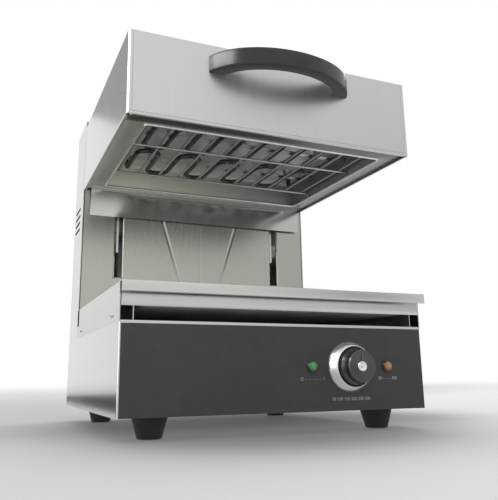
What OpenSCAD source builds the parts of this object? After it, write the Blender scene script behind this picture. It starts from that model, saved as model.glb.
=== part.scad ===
// Counter-top salamander grill with a counterbalanced lifting hood.
// Frame: X to the right, Y to the back, Z up, origin on the floor under the middle of the overall box.

/* [Body] */
// Overall width of the casing
body_w = 450; // [420:1:600]
// Depth of the base from its front plane to the rear cover
base_depth = 450; // [430:1:560]
// Height of the base below the deck
base_h = 115; // [105:1:150]
// Depth of the rear column
column_depth = 98; // [97:1:130]
// Height of the column above the lower edge of the resting hood
column_h = 135.5; // [134:0.5:180]
// Casing sheet thickness
sheet = 1.2; // [0.8:0.1:2]
// Deck sheet thickness
deck_t = 1.5; // [1:0.1:2.5]
// Outside radius of folded corners
bend_r = 3; // [2.5:0.5:6]
// Width of the folded flanges inside the casing
flange_w = 14; // [10:1:20]
// Gap left along the edges of fitted panels
panel_gap = 0.2; // [0.1:0.05:0.4]
// Length of a side vent slot
vent_len = 56; // [30:1:70]
// Height of a vent slot
vent_h = 5; // [4:0.5:8]
// Spacing of the vent slots
vent_pitch = 13; // [10:1:18]

/* [Feet] */
// Clear height under the base
foot_h = 28; // [20:1:45]
// Foot diameter at the top
foot_top_d = 46; // [38:1:60]
// Foot diameter on the floor
foot_bottom_d = 33; // [26:1:44]
// Foot axis from the side of the casing
foot_side = 53; // [45:1:80]
// Foot axis from the front plane
foot_front = 48; // [40:1:80]
// Foot axis from the rear
foot_rear = 62; // [45:1:90]
// Foot screw diameter
foot_screw_d = 6; // [5:0.5:8]

/* [Controls] */
// Front panel thickness
panel_t = 1.5; // [1:0.1:3]
// Bare strip of side panel beside the front panel
panel_edge = 2.5; // [1.5:0.1:6]
// Knob axis from the right side of the casing
knob_x = 125; // [105:1:150]
// Knob axis above the lower edge of the base
knob_rise = 59.5; // [50:0.5:65]
// Knob diameter
knob_d = 47; // [36:1:52]
// Knob length in front of the panel
knob_len = 31; // [22:1:40]
// Outside diameter of the bezel ring
bezel_d = 68; // [60:1:76]
// Height of the bezel ring
bezel_h = 11; // [5:0.5:14]
// Thermostat shaft diameter
shaft_d = 6; // [5:0.5:8]
// Distance of each lamp from the knob axis
lamp_step = 61; // [54:1:70]
// Lamp lens diameter
lamp_d = 14; // [10:1:16]

/* [Tray] */
// Height of the cheeks above the deck
cheek_h = 48.5; // [44:0.5:70]
// Width of a cheek
cheek_w = 18; // [14:1:30]
// Air gap between the deck and the drip pan
air_gap = 18; // [12:1:22]
// Depth of the pan from rim to underside
pan_h = 29; // [24:0.5:30]
// Pan sheet thickness
pan_t = 1; // [0.8:0.1:1.5]
// Side clearance of the pan between the cheeks
pan_gap = 2; // [1:0.5:4]
// Height of the pan's shoulders above its underside
shoulder_rise = 19; // [15:0.5:22]
// How far the lip stands in front of the base
lip_reach = 15; // [12:1:30]
// Height of the lip
lip_h = 14; // [10:0.5:16]
// Diameter of the rack bars
rack_d = 4; // [3:0.5:5]
// Spacing of the rack bars
rack_pitch = 26; // [18:1:36]

/* [Hood] */
// Lower edge of the hood above the floor, at rest
hood_z = 412.5; // [390:0.5:460]
// Height of the hood
hood_h = 122; // [110:1:125]
// Hood front ahead of the base front
hood_over = 6; // [0:1:20]
// Width of the edge folded in along the bottom of the hood
hem_w = 10; // [6:1:16]
// Width of the rim round the hood mouth
rim_w = 33; // [28:1:45]
// Depth of the back plate below the hood
skirt_h = 46; // [30:1:60]
// Back plate thickness
back_t = 2.5; // [2:0.1:4]
// Height of the reflector above the rim
reflector_h = 42; // [40:1:60]
// Reflector sheet thickness
reflector_t = 1; // [0.8:0.1:1.5]
// Heating tube diameter
tube_d = 8; // [6:0.5:10]
// Spacing of the heating tube legs
tube_pitch = 36; // [30:1:44]
// Heating tube axis above the lower edge of the hood
tube_rise = 28; // [26:0.5:32]
// Diameter of the guard rods
guard_d = 4; // [3:0.5:5]
// Spacing of the guard rods
guard_pitch = 36; // [24:1:48]
// Guard axis above the lower edge of the hood
guard_rise = 12.5; // [11:0.5:15]

/* [Handle] */
// Overall length of the handle
handle_len = 226; // [180:1:280]
// Reach of the handle in front of the hood
handle_reach = 58; // [45:1:70]
// Height of the handle's section
handle_h = 26; // [20:1:32]
// Thickness of the handle's section
handle_t = 20; // [14:0.5:24]
// Rounding of the handle's section
handle_r = 5; // [2:0.5:7]
// Handle middle below the hood top
handle_drop = 30; // [20:1:50]
// Handle bolt diameter
handle_bolt_d = 5; // [4:0.5:6]

/* [Lift] */
// Lift arm plane from the side of the casing
arm_x = 67; // [55:1:75]
// Lift arm thickness
arm_t = 4; // [3:0.5:6]
// Width of the column slots
slot_w = 15; // [10:0.5:18]
// Upward travel of the hood from rest
travel_up = 12; // [5:1:14]
// Space left between the lowered back plate and the cheeks
rest_gap = 15; // [8:1:40]
// Guide rod diameter
rod_d = 12; // [10:0.5:14]
// Radial running clearance on rods, axles and shafts
run_gap = 0.05; // [0.02:0.01:0.1]
// Outside diameter of the slider bushes
bush_d = 20; // [18:0.5:24]
// Rope diameter
rope_d = 3; // [2:0.5:4]
// Pulley radius at the rope's middle
pulley_r = 20; // [18:0.5:22]
// Pulley axle diameter
axle_d = 8; // [6:0.5:9]
// Rope plane from the middle
rope_x = 100; // [60:1:110]
// Counterweight width
weight_w = 260; // [240:1:262]
// Counterweight thickness
weight_t = 24; // [20:0.5:25]
// Counterweight height
weight_h = 209; // [150:1:220]

/* [Rear] */
// Cable gland axis from the right side of the casing
gland_x = 43; // [35:1:55]
// Cable gland axis above the lower edge of the base
gland_rise = 42; // [32:1:80]
// Cable gland thread diameter
gland_d = 20; // [16:1:22]
// Length of the gland behind the rear cover
gland_len = 14; // [10:1:24]
// Cable hole in the gland
gland_bore = 9; // [6:0.5:11]

/* [Hidden] */
$fn = 64;
half_w = body_w / 2;
wall_x = half_w - sheet;
fit_x = wall_x - panel_gap;
slide_gap = 0.6;
rest_touch = 0.3;
cut = 1;

// Levels above the floor
base_z = foot_h;
floor_z = base_z + sheet;
floor_top = floor_z + sheet;
deck_z = base_z + base_h;
deck_top = deck_z + deck_t;
deck_lip = 2;
pan_z = deck_top + air_gap;
cheek_top = deck_top + cheek_h;
hood_top_z = hood_z + hood_h;
column_top_z = hood_z + column_h;
skirt_z = hood_z - skirt_h;
travel_down = skirt_z - cheek_top - rest_gap;

// Depths behind the front plane of the base
column_y = base_depth - column_depth;
inner_front = column_y + sheet;
inner_rear = base_depth - sheet;
hood_y = -hood_over;
hood_gap = 1.5;
hood_rear = column_y - hood_gap;
back_gap = 6;
back_rear = column_y - back_gap;
back_y = back_rear - back_t;
front_most = hood_y - handle_reach;
rear_most = base_depth + gland_len;
mid_y = (front_most + rear_most) / 2;

// Lift mechanism inside the column
cross_t = 2;
cross_drop = 16;
cross_z = column_top_z - sheet - cross_drop;
lift_x = half_w - arm_x;
arm_inset = 12;
arm_w = 13;
arm_front = column_y + arm_inset;
arm_back = arm_front + arm_w;
tab_rise = 7.5;
tab_z = hood_z + tab_rise;
tab_h = 58;
arm_drop = 110;
arm_low = hood_z - arm_drop;
slot_end = 8;
slot_low = tab_z - travel_down - slot_end;
slot_top = tab_z + tab_h + travel_up + slot_end;
slider_w = 34;
slider_d = 34;
slider_h = 120;
slider_drop = 67.5;
slider_z = hood_z - slider_drop;
rod_y = arm_back + slider_d / 2;
bush_h = 25;
slider_gap = 20;
lower_z = slider_z - travel_down - slider_gap - cross_t;
rod_end = 4;
bar_d = 16;
bar_h = 24;
bar_drop = 12.5;
bar_z = hood_z - bar_drop;
ferrule_d = 8;
ferrule_h = 12;
pulley_rim = 4;
pulley_w = 12;
groove_gap = 0.3;
clevis_t = 2.5;
clevis_gap = 1;
clevis_d = 20;
rim_gap = 1.5;
pulley_z = cross_z - pulley_r - pulley_rim - clevis_t - rim_gap;
pulley_y = rod_y + pulley_r;
rope_back = pulley_y + pulley_r;
weight_y = rope_back - weight_t / 2;
weight_gap = 8;
weight_z = floor_top + travel_up + weight_gap;
rail_t = 1.5;
rail_grip = 9;

// Hood inside
rim_t = sheet;
rim_rise = 3;
rim_z = hood_z + rim_rise;
rim_top = rim_z + rim_t;
mouth_x = half_w - rim_w;
mouth_y0 = hood_y + rim_w;
mouth_back = 22;
mouth_y1 = back_y - mouth_back;
mouth_d = mouth_y1 - mouth_y0;
reflector_step = 4;
reflector_in = 9;
reflector_x = mouth_x + reflector_step + reflector_t;
reflector_mid = (mouth_y0 + mouth_y1) / 2;
reflector_y = mouth_d / 2 + reflector_step + reflector_t;
roof_z = rim_top + reflector_h;
tube_z = hood_z + tube_rise;
bend_tube = tube_pitch / 2;
leg_pairs = floor((2 * (mouth_x - tube_d) / tube_pitch + 1) / 2);
legs = 2 * leg_pairs;
front_space = 48;
rear_space = 30;
front_share = 0.45;
row_front = mouth_y0 + front_space;
row_rear = mouth_y1 - rear_space;
row_mid = row_front + front_share * (row_rear - row_front);
row_gap = 14;
pin_bend = 11;
pin_rise = 20;
pin_top = roof_z + pin_rise;
pin_gap = 0.3;
guard_z = hood_z + guard_rise;
weld = 1;
guard_cross = 2 * floor(mouth_x / guard_pitch) + 1;
guard_in = 14;
guard_rows = [mouth_y0 + guard_in, mouth_y0 + 0.34 * mouth_d, mouth_y0 + 0.8 * mouth_d];
bar_strip = 12;
bar_strip_t = 2;

// Handle ring
ring_r = (pow(handle_len / 2, 2) + pow(handle_reach, 2)) / (2 * handle_reach);
ring_y = front_most + ring_r;
handle_z = hood_top_z - handle_drop;
grip_x = sqrt(pow(ring_r - handle_t, 2) - pow(ring_y - hood_y, 2));
bolt_edge = 1;
bolt_x = grip_x + handle_bolt_d / 2 + bolt_edge;
bolt_depth = 9;

// Tray
pan_x = half_w - cheek_w - pan_gap;
pan_front = -panel_t;
fascia_t = 1.2;
pan_back = 20;
pan_rear = column_y - pan_back;
pan_top = pan_z + pan_h;
lip_drop = 0.5;
lip_top = cheek_top - lip_drop;
lip_z = lip_top - lip_h;
ledge_w = 10;
runner_x = half_w - cheek_w - ledge_w;
shoulder_z = pan_z + shoulder_rise;
runner_gap = 1;
pan_low_x = runner_x - runner_gap;
rack_side = 3;
rack_x = pan_x - pan_t - rack_side;
rack_y0 = 8;
rack_end = 5;
rack_y1 = pan_rear - pan_t - rack_end;
frame_more = 1;
frame_d = rack_d + frame_more;
frame_axis = shoulder_z + pan_t + frame_d / 2;
bar_axis = frame_axis + frame_d / 2 + rack_d / 2 - weld;
rack_bars = 2 * floor((rack_x - rack_d) / rack_pitch) + 1;

// Controls
dial_x = half_w - knob_x;
knob_z = base_z + knob_rise;
knob_gap = 0.8;
knob_face = panel_t + knob_len;
panel_rise = 0.5;
panel_low = base_z + panel_rise;
panel_top = deck_z - deck_lip - rest_touch;
thermo_w = 44;
thermo_h = 40;
thermo_d = 32;
shaft_end = 19.2;
lens_over = 1.5;
lamp_body_d = lamp_d - lens_over;
cap_r = 7;
cap_dish = 2;
cap_seat = 1;
bore_end = 8;
lamp_depth = 26;
foot_recess = 8;
screw_room = 0.4;
entry_x = half_w - gland_x;

// Shared shapes

module framed() {
    translate([0, -mid_y, 0]) children();
}

module both_sides() {
    children();
    mirror([1, 0, 0]) children();
}

module rod_x(d, x0, x1) {
    translate([x0, 0, 0]) rotate([0, 90, 0]) cylinder(h = x1 - x0, d = d);
}

module rod_y(d, y0, y1) {
    translate([0, y0, 0]) rotate([-90, 0, 0]) cylinder(h = y1 - y0, d = d);
}

module ring(outer_d, inner_d, h) {
    rotate_extrude() translate([inner_d / 2, 0]) square([(outer_d - inner_d) / 2, h]);
}

module round_rect(w, h, r) {
    translate([r, 0]) square([w - 2 * r, h]);
    translate([0, r]) square([w, h - 2 * r]);
    for (x = [r, w - r], y = [r, h - r]) translate([x, y]) circle(r);
}

module slot_shape(l, w) {
    square([l - w, w], center = true);
    for (s = [-1, 1]) translate([s * (l - w) / 2, 0]) circle(d = w);
}

// Plan outline with its two front corners rounded
module front_round(w, d, r) {
    translate([-w / 2 + r, 0]) square([w - 2 * r, d]);
    translate([-w / 2, r]) square([w, d - r]);
    for (s = [-1, 1]) translate([s * (w / 2 - r), r]) circle(r);
}

// Rows of slots in the XZ plane, cut along Y
module vent_rows(l, rows) {
    for (i = [0 : rows - 1]) {
        translate([0, (i - (rows - 1) / 2) * vent_pitch]) slot_shape(l, vent_h);
    }
}

// Base and column casing

module corner_fold() {
    intersection() {
        translate([half_w - bend_r, bend_r]) difference() {
            circle(bend_r);
            circle(bend_r - sheet);
        }
        translate([half_w - bend_r, 0]) square(bend_r);
    }
    translate([half_w - flange_w, 0]) square([flange_w - bend_r, sheet]);
    translate([wall_x, bend_r]) square([sheet, base_depth - bend_r]);
}

module side_panel() {
    rows = 4;
    vent_drop = 10;
    vent_back = 8;
    vent_z = (slot_low + slot_top) / 2 - vent_drop;
    vent_y = (inner_front + inner_rear) / 2 + vent_back;
    difference() {
        union() {
            translate([0, 0, base_z]) linear_extrude(base_h) corner_fold();
            translate([wall_x, column_y, deck_z]) {
                cube([sheet, column_depth, column_top_z - sheet - deck_z]);
            }
            translate([half_w - flange_w, 2 * flange_w, base_z]) {
                cube([flange_w, base_depth - 4 * flange_w, sheet]);
            }
        }
        translate([wall_x - cut, vent_y, vent_z]) rotate([90, 0, 90]) {
            linear_extrude(sheet + 2 * cut) vent_rows(vent_len, rows);
        }
    }
}

module left_side_panel() {
    color("silver") mirror([1, 0, 0]) side_panel();
}

module right_side_panel() {
    color("silver") side_panel();
}

module front_panel() {
    panel_x = half_w - panel_edge;
    bush_room = 3;
    color([0.22, 0.22, 0.22]) difference() {
        translate([-panel_x, -panel_t, panel_low]) cube([2 * panel_x, panel_t, panel_top - panel_low]);
        translate([dial_x, 0, knob_z]) {
            rod_y(shaft_d + bush_room, -panel_t - cut, cut);
            for (s = [-1, 1]) {
                translate([s * lamp_step, 0, 0]) rod_y(lamp_body_d + 2 * run_gap, -panel_t - cut, cut);
            }
        }
    }
}

module deck() {
    tail = 10;
    lip_x = half_w - 1;
    color("silver") {
        translate([-half_w, 0, deck_z]) cube([body_w, column_y, deck_t]);
        translate([-fit_x, column_y, deck_z]) cube([2 * fit_x, tail, deck_t]);
        translate([-lip_x, -panel_t, deck_z - deck_lip]) {
            cube([2 * lip_x, panel_t, deck_t + deck_lip]);
        }
    }
}

module foot_places() {
    for (s = [-1, 1], y = [foot_front, base_depth - foot_rear]) {
        translate([s * (half_w - foot_side), y, 0]) children();
    }
}

module bottom_plate() {
    y0 = sheet + panel_gap;
    y1 = inner_rear - panel_gap;
    rows = 5;
    hole_d = foot_screw_d + screw_room;
    color("silver") difference() {
        translate([-fit_x, y0, floor_z]) cube([2 * fit_x, y1 - y0, sheet]);
        foot_places() translate([0, 0, floor_z - cut]) cylinder(h = sheet + 2 * cut, d = hole_d);
        translate([0, (y0 + y1) / 2, floor_z - cut]) {
            linear_extrude(sheet + 2 * cut) vent_rows(3 * vent_len, rows);
        }
    }
}

module cheek() {
    outer_r = 2;
    rotate([90, 0, 0]) mirror([0, 0, 1]) linear_extrude(column_y - rest_touch) difference() {
        union() {
            translate([half_w - cheek_w, deck_top]) square([cheek_w, cheek_h - outer_r]);
            translate([half_w - cheek_w, deck_top]) square([cheek_w - outer_r, cheek_h]);
            translate([half_w - outer_r, cheek_top - outer_r]) circle(outer_r);
            translate([runner_x, shoulder_z - sheet]) square([ledge_w, sheet]);
        }
        translate([half_w - cheek_w + sheet, deck_top - cut]) {
            square([cheek_w - 2 * sheet, cheek_h + cut - sheet]);
        }
    }
}

module left_cheek() {
    color("silver") mirror([1, 0, 0]) cheek();
}

module right_cheek() {
    color("silver") cheek();
}

// Shallow V emboss on the column face, wide at the top
module emboss_shape() {
    low_end = 20;
    top_end = 18;
    slope = 0.305;
    half_low = 12;
    z0 = deck_top + low_end;
    z1 = column_top_z - top_end;
    polygon([
        [-half_low, z0], [half_low, z0],
        [half_low + slope * (z1 - z0), z1], [-half_low - slope * (z1 - z0), z1]
    ]);
}

module column_face() {
    emboss = 0.8;
    color([0.66, 0.64, 0.6]) difference() {
        union() {
            translate([-fit_x, column_y, deck_top]) {
                cube([2 * fit_x, sheet, column_top_z - sheet - deck_top]);
            }
            translate([0, column_y, 0]) rotate([90, 0, 0]) linear_extrude(emboss) emboss_shape();
        }
        both_sides() translate([lift_x, column_y - cut, (slot_low + slot_top) / 2]) rotate([-90, 90, 0]) {
            linear_extrude(sheet + 2 * cut) round_slot(slot_top - slot_low, slot_w);
        }
    }
}

// Slot with small corner rounding, long side along X
module round_slot(l, w) {
    corner = 3;
    translate([-l / 2, -w / 2]) round_rect(l, w, corner);
}

module column_top() {
    color("silver") translate([-half_w, column_y, column_top_z - sheet]) {
        cube([body_w, column_depth, sheet]);
    }
}

module rear_cover() {
    z0 = floor_top + panel_gap;
    z1 = column_top_z - sheet - panel_gap;
    rows = 3;
    vent_drop = 45;
    color("silver") difference() {
        translate([-fit_x, inner_rear, z0]) cube([2 * fit_x, sheet, z1 - z0]);
        translate([0, inner_rear - cut, z1 - vent_drop]) rotate([-90, 0, 0]) {
            linear_extrude(sheet + 2 * cut) vent_rows(4 * vent_len, rows);
        }
        translate([entry_x, 0, base_z + gland_rise]) {
            rod_y(gland_d + 2 * panel_gap, inner_rear - cut, base_depth + cut);
        }
    }
}

// Lift mechanism fixed in the column

module end_flanges(z, y0, y1) {
    both_sides() translate([fit_x - cross_t, y0, z - flange_w]) cube([cross_t, y1 - y0, flange_w]);
}

module rod_holes(z) {
    both_sides() translate([lift_x, rod_y, z - cut]) {
        cylinder(h = cross_t + 2 * cut, d = rod_d + 2 * run_gap);
    }
}

module upper_crossmember() {
    y0 = inner_front + panel_gap;
    y1 = inner_rear - panel_gap;
    color("silver") difference() {
        union() {
            translate([-fit_x, y0, cross_z]) cube([2 * fit_x, y1 - y0, cross_t]);
            end_flanges(cross_z, y0, y1);
        }
        rod_holes(cross_z);
    }
}

module lower_crossmember() {
    arm_room = 3;
    edge = 8;
    y0 = arm_back + arm_room;
    y1 = rod_y + rod_d / 2 + edge;
    color("silver") difference() {
        union() {
            translate([-fit_x, y0, lower_z]) cube([2 * fit_x, y1 - y0, cross_t]);
            end_flanges(lower_z, y0, y1);
        }
        rod_holes(lower_z);
    }
}

module guide_rod() {
    z0 = lower_z - rod_end;
    translate([lift_x, rod_y, z0]) cylinder(h = cross_z + cross_t + rod_end - z0, d = rod_d);
}

module left_guide_rod() {
    color("gainsboro") mirror([1, 0, 0]) guide_rod();
}

module right_guide_rod() {
    color("gainsboro") guide_rod();
}

module pulley_brackets() {
    half_gap = pulley_w / 2 + clevis_gap;
    hole_reach = half_gap + clevis_t + cut;
    leg_z = pulley_z - clevis_d / 2;
    color("silver") both_sides() translate([rope_x, pulley_y, 0]) difference() {
        union() {
            for (x = [-half_gap - clevis_t, half_gap]) {
                translate([x, -clevis_d / 2, leg_z]) cube([clevis_t, clevis_d, cross_z - leg_z]);
            }
            translate([-half_gap - clevis_t, -clevis_d / 2, cross_z - clevis_t]) {
                cube([2 * (half_gap + clevis_t), clevis_d, clevis_t]);
            }
        }
        translate([0, 0, pulley_z]) rod_x(axle_d + 2 * run_gap, -hole_reach, hole_reach);
    }
}

module pulley_axles() {
    axle_end = 2;
    reach = pulley_w / 2 + clevis_gap + clevis_t + axle_end;
    color("gainsboro") both_sides() translate([rope_x, pulley_y, pulley_z]) rod_x(axle_d, -reach, reach);
}

module pulley() {
    bore = axle_d / 2 + run_gap;
    groove = pulley_r - rope_d / 2 - groove_gap;
    rim = pulley_r + pulley_rim;
    seat = rope_d / 2 + groove_gap;
    translate([rope_x, pulley_y, pulley_z]) rotate([0, 90, 0]) rotate_extrude() polygon([
        [bore, -pulley_w / 2], [rim, -pulley_w / 2], [rim, -pulley_w / 3], [groove, -seat],
        [groove, seat], [rim, pulley_w / 3], [rim, pulley_w / 2], [bore, pulley_w / 2]
    ]);
}

module left_pulley() {
    color("white") mirror([1, 0, 0]) pulley();
}

module right_pulley() {
    color("white") pulley();
}

module rope_wraps() {
    color("dimgray") both_sides() translate([rope_x, pulley_y, pulley_z]) rotate([90, 0, 90]) {
        rotate_extrude(angle = 180) translate([pulley_r, 0]) circle(d = rope_d);
    }
}

module counterweight_rails() {
    front = weight_y - slide_gap;
    back = weight_y + weight_t + slide_gap;
    edge = weight_w / 2 + slide_gap;
    floor_gap = 4;
    pulley_room = 6;
    z0 = floor_top + floor_gap;
    z1 = pulley_z - pulley_r - pulley_rim - pulley_room;
    color("silver") both_sides() translate([0, 0, z0]) linear_extrude(z1 - z0) {
        translate([edge, front - rail_t]) square([rail_t, inner_rear - front + rail_t]);
        translate([edge - rail_grip, front - rail_t]) square([rail_grip, rail_t]);
        translate([edge - rail_grip, back]) square([rail_grip, inner_rear - back]);
    }
}

module counterweight() {
    color([0.25, 0.25, 0.26]) translate([-weight_w / 2, weight_y, weight_z]) {
        cube([weight_w, weight_t, weight_h]);
    }
}

module ferrules(y, z) {
    both_sides() translate([rope_x, y, z]) cylinder(h = ferrule_h, d = ferrule_d);
}

module counterweight_ferrules() {
    color("goldenrod") ferrules(rope_back, weight_z + weight_h);
}

module rope(y, z) {
    translate([rope_x, y, z]) cylinder(h = pulley_z - z, d = rope_d);
}

module left_front_rope() {
    color("dimgray") mirror([1, 0, 0]) rope(rod_y, bar_z + bar_h + ferrule_h);
}

module right_front_rope() {
    color("dimgray") rope(rod_y, bar_z + bar_h + ferrule_h);
}

module left_rear_rope() {
    color("dimgray") mirror([1, 0, 0]) rope(rope_back, weight_z + weight_h + ferrule_h);
}

module right_rear_rope() {
    color("dimgray") rope(rope_back, weight_z + weight_h + ferrule_h);
}

// Feet

module feet() {
    edge = 2;
    collar = 4;
    head_room = 0.5;
    top_r = foot_top_d / 2;
    low_r = foot_bottom_d / 2;
    head_r = foot_screw_d + head_room;
    screw_r = (foot_screw_d + screw_room) / 2;
    color([0.15, 0.15, 0.15]) foot_places() rotate_extrude() polygon([
        [head_r, 0], [low_r - edge, 0], [low_r, edge], [top_r, floor_z - collar], [top_r, floor_z],
        [screw_r, floor_z], [screw_r, foot_recess], [head_r, foot_recess]
    ]);
}

module foot_screws() {
    head_h = 4;
    nut_h = 5;
    thread_end = 1;
    shank = floor_top + nut_h + thread_end - foot_recess;
    color("gainsboro") foot_places() {
        translate([0, 0, foot_recess - head_h]) cylinder(h = head_h, d = 2 * foot_screw_d);
        translate([0, 0, foot_recess]) cylinder(h = shank, d = foot_screw_d);
        translate([0, 0, floor_top]) cylinder(h = nut_h, d = 1.8 * foot_screw_d, $fn = 6);
    }
}

// Controls

module on_panel(x = 0) {
    translate([dial_x + x, -panel_t, knob_z]) rotate([90, 0, 0]) children();
}

module knob_bezel() {
    knob_room = 1;
    edge = 1.5;
    crest = 1.5;
    outer = bezel_d / 2;
    inner = knob_d / 2 + knob_room;
    color("white") on_panel() rotate_extrude() polygon([
        [inner, 0], [outer, 0], [outer, edge], [inner + crest, bezel_h], [inner, bezel_h]
    ]);
}

module thermostat_body() {
    bush_wall = 1;
    color("dimgray") translate([dial_x, 0, knob_z]) difference() {
        union() {
            translate([-thermo_w / 2, 0, -thermo_h / 2]) cube([thermo_w, thermo_d, thermo_h]);
            rod_y(shaft_d + 2 * bush_wall, -panel_t, cut);
        }
        rod_y(shaft_d + 2 * run_gap, -panel_t - cut, shaft_end);
    }
}

module thermostat_shaft() {
    end_gap = 0.5;
    color("gainsboro") translate([dial_x, 0, knob_z]) {
        rod_y(shaft_d, -knob_face + bore_end, shaft_end - end_gap);
    }
}

module control_knob() {
    skirt = 5;
    draft = 1.5;
    edge = 2;
    cap_wall = 1;
    base_r = knob_d / 2;
    face_r = base_r - draft;
    dish_z = knob_len - cap_dish;
    color([0.1, 0.1, 0.1]) on_panel() difference() {
        rotate_extrude() polygon([
            [0, knob_gap], [base_r, knob_gap], [base_r, skirt], [face_r, knob_len - edge],
            [face_r - edge, knob_len], [face_r - 2 * edge, knob_len], [cap_r + cap_wall, dish_z], [0, dish_z]
        ]);
        translate([0, 0, -cut]) cylinder(h = knob_len - bore_end + cut, d = shaft_d + 2 * run_gap);
        translate([0, 0, dish_z - cap_seat]) cylinder(h = cap_seat + cap_dish + cut, r = cap_r);
    }
}

module knob_cap() {
    edge = 1;
    rise = 0.8;
    cap_h = 2;
    outer = cap_r - run_gap;
    color("white") on_panel() translate([0, 0, knob_len - cap_dish - cap_seat]) rotate_extrude() {
        polygon([[0, 0], [outer, 0], [outer, cap_h - rise], [outer - edge, cap_h], [0, cap_h]]);
    }
}

module lamp_lens() {
    rim = 1;
    rim_h = 1.5;
    step = 0.5;
    rim_r = lamp_d / 2 + rim;
    lens_r = lamp_d / 2 - step;
    dome = 3.5;
    ball_r = (lens_r * lens_r + dome * dome) / (2 * dome);
    rotate_extrude() {
        square([rim_r, rim_h]);
        intersection() {
            translate([0, rim_h + dome - ball_r]) circle(ball_r);
            translate([0, rim_h]) square([lens_r, dome]);
        }
    }
}

module green_lamp() {
    color("seagreen") on_panel(-lamp_step) lamp_lens();
}

module amber_lamp() {
    color("orange") on_panel(lamp_step) lamp_lens();
}

module lamp_bodies() {
    color("dimgray") for (s = [-1, 1]) {
        translate([dial_x + s * lamp_step, 0, knob_z]) rod_y(lamp_body_d, -panel_t, lamp_depth);
    }
}

module terminal_block() {
    ways = 3;
    pitch = 14;
    length = 30;
    low_h = 12;
    high_h = 8;
    side = 2;
    end = 6;
    rear_gap = 150;
    color("ivory") translate([entry_x - ways * pitch / 2, base_depth - rear_gap, floor_top]) {
        for (i = [0 : ways - 1]) translate([i * pitch, 0, 0]) {
            cube([pitch, length, low_h]);
            translate([side, end, low_h]) cube([pitch - 2 * side, length - 2 * end, high_h]);
        }
    }
}

module cable_gland() {
    nut_t = 5;
    thread_in = 10;
    hex_over = 8;
    nut_over = 7;
    dome_over = 1;
    taper = 4;
    dome_r = gland_d / 2 + dome_over;
    dome_h = gland_len - nut_t;
    color([0.15, 0.15, 0.15]) translate([entry_x, inner_rear, base_z + gland_rise]) difference() {
        union() {
            rod_y(gland_d, -thread_in, sheet + cut);
            rotate([-90, 0, 0]) {
                translate([0, 0, sheet]) cylinder(h = nut_t, d = gland_d + hex_over, $fn = 6);
                translate([0, 0, -nut_t]) cylinder(h = nut_t, d = gland_d + nut_over, $fn = 6);
                translate([0, 0, sheet + nut_t]) rotate_extrude() polygon([
                    [0, 0], [dome_r, 0], [dome_r, dome_h - taper], [dome_r - taper, dome_h], [0, dome_h]
                ]);
            }
        }
        rod_y(gland_bore, -thread_in - cut, gland_len + sheet + cut);
    }
}

// Hood

module hood_skin() {
    skin_h = hood_h - sheet;
    depth = hood_rear - hood_y;
    color("silver") difference() {
        translate([0, hood_y, hood_z]) {
            linear_extrude(skin_h) difference() {
                front_round(body_w, depth, bend_r);
                translate([0, sheet]) front_round(body_w - 2 * sheet, depth, bend_r - sheet);
            }
            linear_extrude(sheet) difference() {
                front_round(body_w, depth, bend_r);
                translate([hem_w - half_w, hem_w]) square([body_w - 2 * hem_w, depth]);
            }
        }
        both_sides() translate([bolt_x, 0, handle_z]) {
            rod_y(handle_bolt_d + screw_room, hood_y - cut, hood_y + sheet + cut);
        }
    }
}

module hood_top() {
    color("silver") translate([0, hood_y, hood_top_z - sheet]) {
        linear_extrude(sheet) front_round(body_w, hood_rear - hood_y, bend_r);
    }
}

module hood_back_plate() {
    skirt_in = 15;
    low_x = half_w - skirt_in;
    top_z = hood_top_z - sheet;
    color("silver") translate([0, back_rear, 0]) rotate([90, 0, 0]) linear_extrude(back_t) polygon([
        [-low_x, skirt_z], [low_x, skirt_z], [low_x, rim_z], [fit_x, rim_z],
        [fit_x, top_z], [-fit_x, top_z], [-fit_x, rim_z], [-low_x, rim_z]
    ]);
}

module hood_rim() {
    y0 = hood_y + sheet + panel_gap;
    y1 = back_y;
    color("silver") translate([0, 0, rim_z]) linear_extrude(rim_t) difference() {
        translate([-fit_x, y0]) square([2 * fit_x, y1 - y0]);
        translate([-mouth_x, mouth_y0]) square([2 * mouth_x, mouth_y1 - mouth_y0]);
    }
}

// Tapered block on a centred base, drawn in on all four sides
module frustum(x, y, h) {
    intersection() {
        rotate([90, 0, 0]) linear_extrude(2 * y, center = true) taper_shape(x, h);
        rotate([90, 0, 90]) linear_extrude(2 * x, center = true) taper_shape(y, h);
    }
}

module taper_shape(half, h) {
    polygon([[-half, 0], [half, 0], [half - reflector_in, h], [reflector_in - half, h]]);
}

module pin_places() {
    for (x = [-1, 1]) {
        translate([x * (legs - 1) / 2 * tube_pitch, row_front + bend_tube - pin_bend, 0]) children();
        translate([x * (legs - 1) / 2 * tube_pitch, row_rear - bend_tube + pin_bend, 0]) children();
    }
}

module reflector() {
    flange = 6;
    x = reflector_x;
    y = reflector_y;
    color("gainsboro") difference() {
        union() {
            translate([0, reflector_mid, rim_top]) frustum(x, y, reflector_h);
            translate([-x - flange, reflector_mid - y - flange, rim_top]) {
                cube([2 * (x + flange), 2 * (y + flange), reflector_t]);
            }
        }
        translate([0, reflector_mid, rim_top - reflector_t]) {
            frustum(x - reflector_t, y - reflector_t, reflector_h);
        }
        pin_places() translate([0, 0, roof_z - reflector_t - cut]) {
            cylinder(h = reflector_t + 2 * cut, d = tube_d + 2 * pin_gap);
        }
    }
}

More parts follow.
